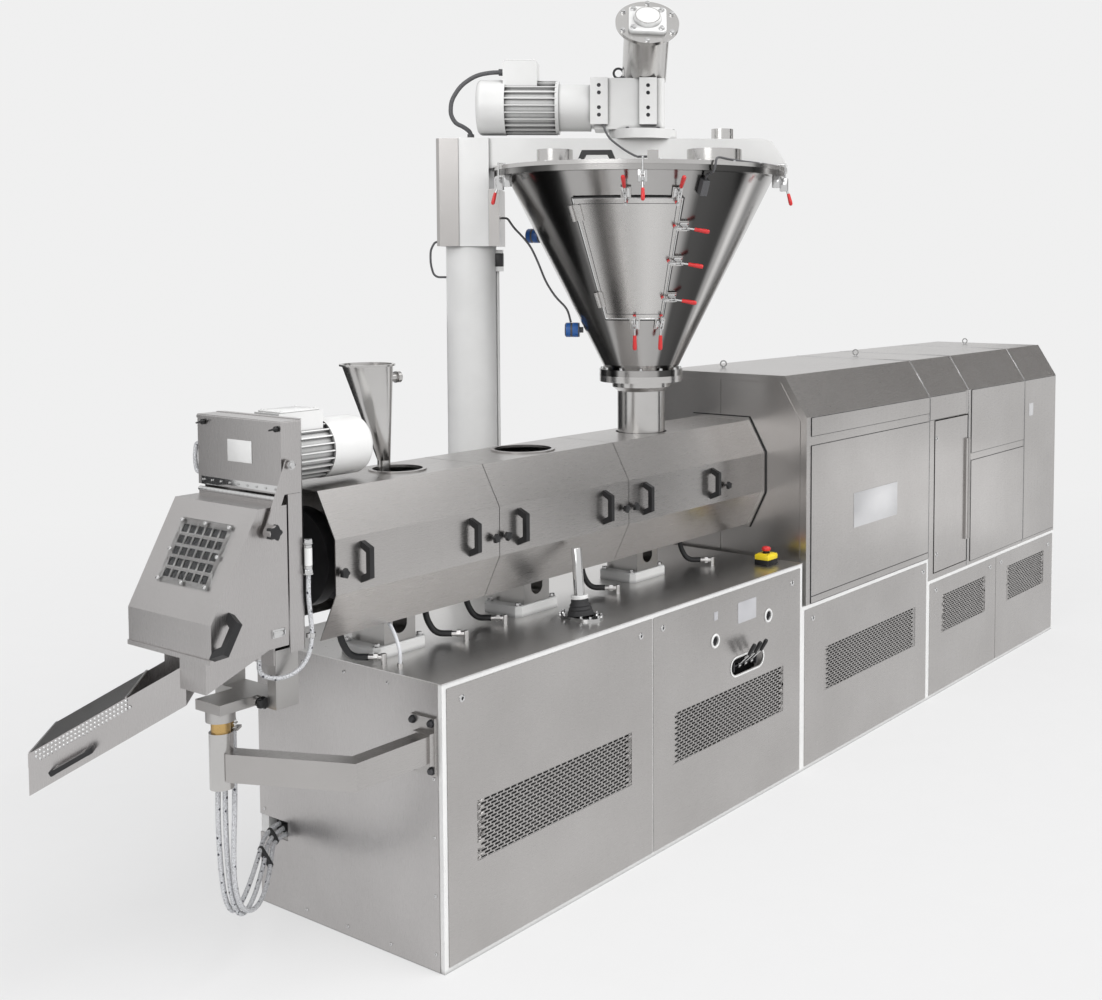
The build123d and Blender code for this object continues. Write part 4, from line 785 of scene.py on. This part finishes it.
flange = []
for i in range(12):
    a = 2 * pi * i / 12
    flange.append(HOPPER @ Matrix.Translation((162 * cos(a), 162 * sin(a), CONE_FOOT_Z)))
scattered("neck_flange_bolts", hex_head(15, 9), flange, CHROME)
rim_bolts = []
for i in range(24):
    a = 2 * pi * (i + 0.5) / 24
    rim_bolts.append(HOPPER @ Matrix.Translation((596 * cos(a), 596 * sin(a), 2646)))
scattered("lid_screws", cap_screw(13), rim_bolts, CHROME)

# gear motor and bearing

bolts = []
for u in (-169, 32):
    for z in (2862, 2892, 2952, 2982):
        for v in (-98, 98):
            bolts.append(HOPPER @ seat((u, v, z), (0, v, 0)))
for a in range(6):
    bolts.append(HOPPER @ Matrix.Translation((10 + 126 * cos(pi / 3 * a), 126 * sin(pi / 3 * a), 2806)))
scattered("gear_foot_bolts", hex_head(13, 8), bolts, DARK, slot="dark_steel")
scattered("gear_eye", eye_bolt(20), [HOPPER @ Matrix.Translation((-91, 0, 3014))], DARK, slot="dark_steel")
lid = box((128, 128, 10), 4.0, (-494, 0, 3086))
for u in (-548, -440):
    for v in (-54, 54):
        put(lid, cap_screw(11), Matrix.Translation((u, v, 3091)))
scattered("motor_box_lid", lid, [HOPPER], WHITE, slot="white_paint")
aim = Vector((0.05, -0.75, 0.66)).normalized()
tip = Vector((14, 30, 3014)) + aim * 300
face = HOPPER @ seat(tip, aim, (1, 0, 0))
ring = [face @ Matrix.Translation((113 * cos(pi / 3 * i), 113 * sin(pi / 3 * i), 13)) for i in range(6)]
ring += [face @ Matrix.Translation((sx * 57, sy * 57, 30)) for sx in (-1, 1) for sy in (-1, 1)]
scattered("bearing_bolts", hex_head(19, 11), ring, CHROME)
corners = []
for sx, sy, start in ((1, 1, 0), (-1, 1, 90), (-1, -1, 180), (1, -1, 270)):
    for a in range(start, start + 91, 30):
        corners.append((sx * 58 + 18 * cos(radians(a)), sy * 58 + 18 * sin(radians(a))))
block = drawn(corners, 17, 3)
put(block, turned([(56, 16), (56, 20), (52, 34), (42, 38), (0, 39)], 32))
scattered("bearing_block", block, [face @ Matrix.Translation((0, 0, 13))], WHITE, slot="white_paint")

# clamp post on the table

POST_AT = (-1704, -270)
foot = Vector((*POST_AT, TABLE_Z + 4))
lean = seat(foot, (0, 20, 248), (0, 1, 0))
oval = bmesh.new()
bmesh.ops.create_circle(oval, cap_ends=True, segments=40, radius=55)
bmesh.ops.translate(oval, verts=[v for v in oval.verts if v.co.y > 0.5], vec=(0, 40, 0))
bmesh.ops.translate(oval, verts=[v for v in oval.verts if v.co.y < -0.5], vec=(0, -40, 0))
rise = bmesh.ops.extrude_face_region(oval, geom=oval.faces[:])
top = [v for v in rise["geom"] if isinstance(v, bmesh.types.BMVert)]
bmesh.ops.translate(oval, verts=top, vec=(0, 0, 10))
bmesh.ops.recalc_face_normals(oval, faces=oval.faces)
for side in (-1, 1):
    for a in (0, 45, 90, 135, 180):
        spot = (46 * cos(radians(a)), side * (40 + 46 * sin(radians(a))), 10)
        put(oval, hex_head(12, 8), Matrix.Translation(spot))
bm = bmesh.new()
put(bm, oval, Matrix.Translation((*POST_AT, TABLE_Z)))
put(bm, turned([(20, 60), (20, 252), (17, 256), (0, 256)], 28), lean)
piece("clamp_post_steel", bm, CHROME, replaces=["clamp_post"])
boot = turned([(49, 7), (47, 20), (43, 24), (44, 30), (38, 38), (39, 44), (33, 52), (33, 62), (30, 66),
               (20, 66)], 28)
scattered("clamp_post_boot", boot, [lean], RUBBER, slot="black_plastic")
collar = turned([(20, 66), (31, 66), (33, 68), (33, 78), (31, 80), (20, 80)], 28)
scattered("clamp_post_ring", collar, [lean], WHITE, slot="white_paint")

# emergency stop

STOP_AT = (-520, -335)
case = box((80, 72, 23), 5.0, (*STOP_AT, 974))
put(case, box((74, 66, 5), 2.0, (*STOP_AT, 986)))
piece("stop_case", case, YELLOW, slot="yellow_plastic", replaces=["emergency_stop"])
piece("stop_base", box((80, 72, 23), 3.0, (*STOP_AT, 951.5)), BLACK, slot="black_plastic")
button = turned([(13, 61), (17, 60), (20, 64), (20, 70), (16, 76), (8, 78.5), (0, 79)], 28)
stop_foot = Matrix.Translation((*STOP_AT, TABLE_Z))
scattered("stop_button", button, [stop_foot], RED, slot="yellow_plastic")
bm = bmesh.new()
put(bm, turned([(13, 47), (17, 47), (17, 52), (13, 54), (13, 62)], 24), stop_foot)
for x in (-552, -488):
    for y in (-363, -307):
        put(bm, cap_screw(8), Matrix.Translation((x, y, 988)))
put(bm, turned([(0, 0), (9, 0), (9, 16), (6, 20), (0, 20)], 14), seat((-480, -335, 962), (1, 0, 0)))
piece("stop_collar", bm, BLACK, slot="black_plastic")

# panel fittings: ports, valve slot, bare plates

port_places = [seat((x, FRONT_Y, z), FRONT) for x, z in ((-1089, 742), (-692, 764))]
ports = bmesh.new()
for place in port_places:
    put(ports, turned([(20, -4), (20, 3), (22, 5), (27, 5), (30, 2), (30, 0)], 28), place)
section = ((36, -2.5), (36, 2), (37.5, 3), (41.5, 3), (43, 2), (43, 0))
rings = [[(x, y, h) for x, y in stadium(85, r)] for r, h in section]
put(ports, loft(rings), seat((-852, FRONT_Y, 600), FRONT))
piece("port_rings", ports, WHITE, slot="white_paint")
plug = turned([(0, -9), (11, -9), (13, -5), (20, -5)], 20)
scattered("port_plugs", plug, port_places, DARK, slot="dark_steel")
for i, x in enumerate((-895, -850, -805)):
    stem = turned([(4.2, -8), (11, -8), (11, 8), (4.2, 8)], 20)
    bm = bmesh.new()
    put(bm, stem, seat((x, -436, 596), (1, 0, 0)))
    put(bm, bar((x, -444, 603), (x, -492, 648), 4))
    piece(f"lever_{i + 1}_stem", bm, CHROME, f"lever_{i + 1}", replaces=[f"valve_lever_{i + 1}"])
    grip = turned([(0, 0), (6, 0), (7.5, 4), (8.4, 30), (9, 50), (7, 57), (0, 59)], 16)
    scattered(f"lever_{i + 1}_grip", grip, [seat((x, -490, 646), (0, -30, 50))], BLACK, f"lever_{i + 1}",
              "black_plastic")

plates = bmesh.new()
for x, z, wide, high in ((-1084, 843, 26, 34), (-856, 820, 137, 87)):
    put(plates, box((wide, 2, high), 0.8, (x, -455.6, z)))
piece("panel_plates", plates, PLATE)
plates = box((439, 2.4, 163), 1.0, (271, -455.8, 1106))
put(plates, box((62, 2, 74), 0.8, (2205, -455.6, 1400)))
piece("housing_plates", plates, LABEL)

locks("door_lock", ((933, 1354), (943, 747)), "door")

# bolts on the table and the swing arm

bolts = []
for x in (-2425, -1735, -1044):
    for dx in (-96, 96):
        for y in (-72, 72):
            bolts.append(Matrix.Translation((x + dx, y, 980)))
scattered("saddle_bolts", hex_head(20, 12), bolts, CHROME)
bolts = [seat((END_X - 12, y, z), LEFT) for y in (-420, -338) for z in (660, 812)]
scattered("arm_bolts", hex_head(22, 13), bolts, DARK, slot="dark_steel")

# pelletizer fittings

def over_latch():
    """A small draw latch: base, hooked bar and lever."""
    bm = box((26, 46, 3), 1.0, (0, 0, 1.5))
    put(bm, box((16, 34, 5), 1.8, (0, -4, 6)))
    put(bm, bar((-6, 20, 6), (6, 20, 6), 3, 10))
    for y in (-18, 18):
        put(bm, cap_screw(6), Matrix.Translation((9, y, 3)))
    return bm


wing = turned([(0, 8), (7, 8), (9, 6), (9, 0)], 14)
put(wing, box((30, 5, 14), 2.0, (0, 0, 12)))
wing_places = [seat((-2998, y, 1762), LEFT, turn=15) for y in (169, -185)]
scattered("box_wing_screws", wing, wing_places, BLACK, "pelletizer", "black_plastic")
plate = box((2, 117, 68), 0.8, (-2997, -7, 1683))
piece("box_plate", plate, WHITE, "pelletizer", "white_paint")
leaf = box((2, 370, 26), 0.6, (-2997.2, 0, 1579))
for i in range(9):
    put(leaf, cap_screw(7), seat((-2999, -176 + 44 * i, 1581), LEFT))
piece("hinge_leaf", leaf, CHROME, "pelletizer")
knuckle = turned([(5, 0.6), (7.6, 0.6), (7.6, 20), (5, 20)], 14)
knuckle_places = [seat((-3004, -185 + i * 370 / 18, 1553), (0, 1, 0)) for i in range(18)]
scattered("hinge_knuckles", knuckle, knuckle_places, CHROME, "hood")

# the window lies on the hood's sloping face
slope = atan2(310, 169)
out = Vector((-sin(slope), 0, cos(slope)))
up = Vector((cos(slope), 0, sin(slope)))
centre = Vector((-3165.5, -4, 1380)) + up * 16 + out * 8
screws = []
for sx, sy in ((-1, -1), (0, -1), (1, -1), (-1, 0), (1, 0), (-1, 1), (0, 1), (1, 1)):
    screws.append(seat(centre + Vector((0, sx * 114, 0)) + up * (sy * 92), out))
scattered("window_screws", cap_screw(14), screws, CHROME, "hood")
scattered("window_backing", box((218, 172, 1.2), 0.3), [seat(centre - out * 12, out, up)], RUBBER, "hood",
          "black_plastic")
scattered("hood_latch", over_latch(), [seat((-3018, -202, 1155), FRONT, (1, 0, 0))], CHROME, "hood")
scattered("stay_knob", star_knob(25, 20, 4), [seat((-3055, -226, 1466), FRONT)], BLACK, "stay",
          "black_plastic")
scattered("stay_pivot_bolt", hex_head(22, 10), [seat((-2979, -226, 1656), FRONT)], CHROME, "stay")
scattered("lock_pin_knob", star_knob(20, 16, 10), [seat((-3000, -80, 919), FRONT)], BLACK, "pelletizer",
          "black_plastic")
lid = box((150, 112, 8), 3.0, (-2805, 0, 1792))
for x in (-2870, -2740):
    for y in (-46, 46):
        put(lid, cap_screw(9), Matrix.Translation((x, y, 1796)))
piece("cutter_box_lid", lid, WHITE, "pelletizer", "white_paint")

# water coupling at the plate's edge, with its hose clip, and the plug on the column

COUPLING = Matrix.Translation((-2912, -213.3, 0))
bm = bmesh.new()
for z in (1315, 1408):
    put(bm, hex_head(26, 14), COUPLING @ Matrix.Translation((0, 0, z)))
for z in (1332, 1396):
    put(bm, turned([(11, 0), (12.6, 1), (12.6, 9), (11, 10)], 20), COUPLING @ Matrix.Translation((0, 0, z)))
put(bm, turned([(7.4, -7), (10, -7), (10, 7), (7.4, 7)], 18), seat((-2898, -209, 1125), (3, 8, -110)))
put(bm, box((14, 12, 14), 2.0, (-2908, -205, 1125)))
piece("coupling_nuts", bm, CHROME, "pelletizer")
sleeve = turned([(10.5, 1342), (12, 1342), (12, 1396), (10.5, 1396)], 20)
scattered("coupling_sleeve", sleeve, [COUPLING], WHITE, "pelletizer", "white_paint")
scattered("column_plug", box((36, 40, 56), 3.0, (-592, 0, 2270)), [HOPPER], BLACK, slot="black_plastic")

# chute: barred screen over a black sheet of painted shade, dimpled skirt and black handle

CHUTE_TILT = radians(29)
drop = sin(CHUTE_TILT) / cos(CHUTE_TILT)
chute = Matrix.Translation((-3220, -34, 1079)) @ Matrix.Rotation(radians(135), 4, "Z")
tilt = Matrix.Rotation(CHUTE_TILT, 4, "Y")
screen = chute @ Matrix.Translation((165, 0, -165 * drop + 3)) @ tilt
# a black sheet under the bars: painted shade seen between them
scattered("chute_slot_shade", box((306, 270, 0.8), 0.0, (157, -140, 0.6)), [screen], RUBBER, "pelletizer",
          "black_plastic")
bm = bmesh.new()
for j in range(14):
    put(bm, box((306, 8.0, 0.9), 0.0, (157, -267 + j * 19.6, 0.85)), screen)
for x in (4, 310):
    put(bm, box((6, 276, 3), 1.0, (x, -140, 1.2)), screen)
piece("chute_bars", bm, SATIN, "pelletizer")
dimple = turned([(0, 2.4), (2.6, 2.1), (4.0, 1.0), (4.8, 0)], 8)
spots = []
for i in range(24):
    for j in range(3):
        spots.append(screen @ seat((8 + i * 12.4 + 6 * (j % 2), 3, -8 - j * 11), (0, 1, 0)))
scattered("chute_dimples", dimple, spots, CHROME, "pelletizer")
grip = bmesh.new()
for x in (-56, 56):
    put(grip, box((22, 40, 17), 4.0, (x, 19, 0)))
put(grip, box((120, 17, 17), 5.0, (0, 31.5, 0)))
grip_place = chute @ Matrix.Translation((316, 0, -262)) @ tilt
scattered("chute_handle", grip, [grip_place], BLACK, "pelletizer", "black_plastic")

# ties and nuts on the drain hoses

nuts = []
for x, y, _ in (route[0] for route in DRAIN_ROUTES):
    nuts += [Matrix.Translation((x, y, 834)), Matrix.Translation((x, y, 846))]
scattered("drain_nuts", hex_head(20, 12), nuts, CHROME)
cuffs = bmesh.new()
cuff = turned([(8.2, 0), (11.5, 0), (11.5, 26), (10.5, 30), (8.2, 30)], 18)
for route in DRAIN_ROUTES:
    put(cuffs, cuff, seat(route[-1], LEFT))
put(cuffs, box((2, 112, 64), 0.8, (-2561.2, 358, 285)))
for spots in tie_spots.values():
    strap = bmesh.new()
    for spot in spots:
        for side in (-4, 4):
            ring = seat(spot, (0.8, 0.55, 0.2)) @ Matrix.Translation((0, 0, side))
            bmesh.ops.create_circle(strap, segments=16, radius=9.6, matrix=ring)
    hull = bmesh.ops.convex_hull(strap, input=strap.verts)
    bmesh.ops.delete(strap, geom=hull["geom_interior"], context="VERTS")
    put(cuffs, strap)
piece("drain_cuffs", cuffs, RUBBER, slot="black_plastic")

# floor, light and camera

PAPER = (0.87, 0.87, 0.87, 1)


def sees_backdrop(tree):
    """One for rays that carry the backdrop to the eye: straight, mirrored, or through a clear sheet."""
    ray = tree.nodes.new("ShaderNodeLightPath")
    total = ray.outputs["Is Camera Ray"]
    for kind in ("Is Glossy Ray", "Is Transmission Ray"):
        either = tree.nodes.new("ShaderNodeMath")
        either.operation = "MAXIMUM"
        tree.links.new(total, either.inputs[0])
        tree.links.new(ray.outputs[kind], either.inputs[1])
        total = either.outputs[0]
    return total


def mix_shaders(tree, share, first, second, out):
    """Sends a mix of two shaders to the output."""
    choose = tree.nodes.new("ShaderNodeMixShader")
    tree.links.new(share, choose.inputs["Fac"])
    tree.links.new(first, choose.inputs[1])
    tree.links.new(second, choose.inputs[2])
    tree.links.new(choose.outputs[0], out.inputs["Surface"])


world = bpy.data.worlds.new("studio")
bpy.context.scene.world = world
world.use_nodes = True
tree = world.node_tree
room = tree.nodes["Background"]
room.inputs["Color"].default_value = (0.52, 0.52, 0.53, 1)
seen = tree.nodes.new("ShaderNodeBackground")
seen.inputs["Color"].default_value = PAPER
mix_shaders(tree, sees_backdrop(tree), room.outputs[0], seen.outputs[0], tree.nodes["World Output"])

# the floor runs into the backdrop a few metres out
floor_paint = coat("floor_paint", (0.80, 0.80, 0.80), (0.815, 0.815, 0.815), (0.7, 0.8), 300, 0.00002)
tree = floor_paint.node_tree
where = tree.nodes.new("ShaderNodeTexCoord")
reach = tree.nodes.new("ShaderNodeVectorMath")
reach.operation = "LENGTH"
tree.links.new(where.outputs["Object"], reach.inputs[0])
far = tree.nodes.new("ShaderNodeMath")
far.operation = "MULTIPLY"
tree.links.new(limits(tree, reach.outputs["Value"], 3.5, 8.0, 0.62), far.inputs[0])
tree.links.new(sees_backdrop(tree), far.inputs[1])
paper = tree.nodes.new("ShaderNodeEmission")
paper.inputs["Color"].default_value = PAPER
mix_shaders(tree, far.outputs[0], tree.nodes["Principled BSDF"].outputs[0], paper.outputs[0],
            tree.nodes["Material Output"])
floor_mesh = bpy.data.meshes.new("floor")
bm = bmesh.new()
bmesh.ops.create_grid(bm, x_segments=8, y_segments=8, size=30.0)
bmesh.ops.translate(bm, verts=bm.verts, vec=(0, 0, -0.0005))
bm.to_mesh(floor_mesh)
bm.free()
floor_mesh.materials.append(floor_paint)
floor = bpy.data.objects.new("floor", floor_mesh)
bpy.context.scene.collection.objects.link(floor)


def soft_lamp(name, at, target, size, power, beam=180):
    """A wide soft box aimed at a spot, out of the camera's sight."""
    lamp = bpy.data.lights.new(name, "AREA")
    lamp.shape = "RECTANGLE"
    lamp.size, lamp.size_y = size
    lamp.energy = power
    lamp.spread = radians(beam)
    obj = bpy.data.objects.new(name, lamp)
    obj.location = at
    obj.rotation_euler = (Vector(target) - Vector(at)).to_track_quat("-Z", "Y").to_euler()
    obj.visible_camera = False
    bpy.context.scene.collection.objects.link(obj)


def sun_lamp(name, aim, strength):
    """Even light from one side, as from a large wall of diffusers."""
    lamp = bpy.data.lights.new(name, "SUN")
    lamp.angle = radians(60)
    lamp.energy = strength
    obj = bpy.data.objects.new(name, lamp)
    obj.rotation_euler = Vector(aim).to_track_quat("-Z", "Y").to_euler()
    obj.visible_glossy = False
    bpy.context.scene.collection.objects.link(obj)


def card(name, at, target, size, finish):
    """A card out of sight, there only to be mirrored in the steel."""
    mesh = bpy.data.meshes.new(name)
    bm = bmesh.new()
    bmesh.ops.create_grid(bm, x_segments=1, y_segments=1, size=0.5)
    bmesh.ops.scale(bm, vec=(*size, 1), verts=bm.verts)
    turn = (Vector(target) - Vector(at)).to_track_quat("-Z", "Y").to_matrix().to_4x4()
    bmesh.ops.transform(bm, matrix=Matrix.Translation(at) @ turn, verts=bm.verts)
    bm.to_mesh(mesh)
    bm.free()
    mesh.materials.append(finish)
    obj = bpy.data.objects.new(name, mesh)
    obj.visible_camera = obj.visible_diffuse = obj.visible_shadow = obj.visible_transmission = False
    bpy.context.scene.collection.objects.link(obj)


sun_lamp("key", (-0.13, 0.74, -0.66), 1.85)
sun_lamp("fill", (0.8, 0.3, -0.5), 0.35)
soft_lamp("side", (-6.5, -1.0, 4.5), (-1.5, 0.0, 1.2), (3.0, 3.0), 70)
soft_lamp("top", (-0.5, -2.5, 6.0), (-0.5, 0.0, 1.2), (6.0, 2.0), 60)
soft_lamp("low", (2.75, -1.75, 0.75), (0.2, -0.45, 0.95), (1.6, 0.6), 0.2, beam=80)
CARD = coat("grey_card", (0.40, 0.39, 0.38), (0.43, 0.42, 0.41), (0.7, 0.8), 100, 0.00001)
card("card_right", (2.1, -3.05, 2.2), (-1.7, -0.3, 2.0), (1.1, 4.0), RUBBER)
card("card_far", (8.0, -1.0, 4.5), (0.0, 0.0, 1.5), (7.0, 5.0), CARD)
card("card_back", (-2.4, 2.5, 1.0), (-2.4, 0.0, 1.0), (4.6, 1.9), RUBBER)

camera = bpy.data.cameras.new("camera")
camera.sensor_width = 36.0
camera.lens = 45.55
camera.shift_x = -0.1276
camera.shift_y = -0.1319
view = bpy.data.objects.new("camera", camera)
view.location = (-5.636, -3.575, 2.247)
view.rotation_euler = (radians(86.34), 0, radians(-54.56))
bpy.context.scene.collection.objects.link(view)
bpy.context.scene.camera = view
bpy.context.scene.view_settings.view_transform = "Standard"
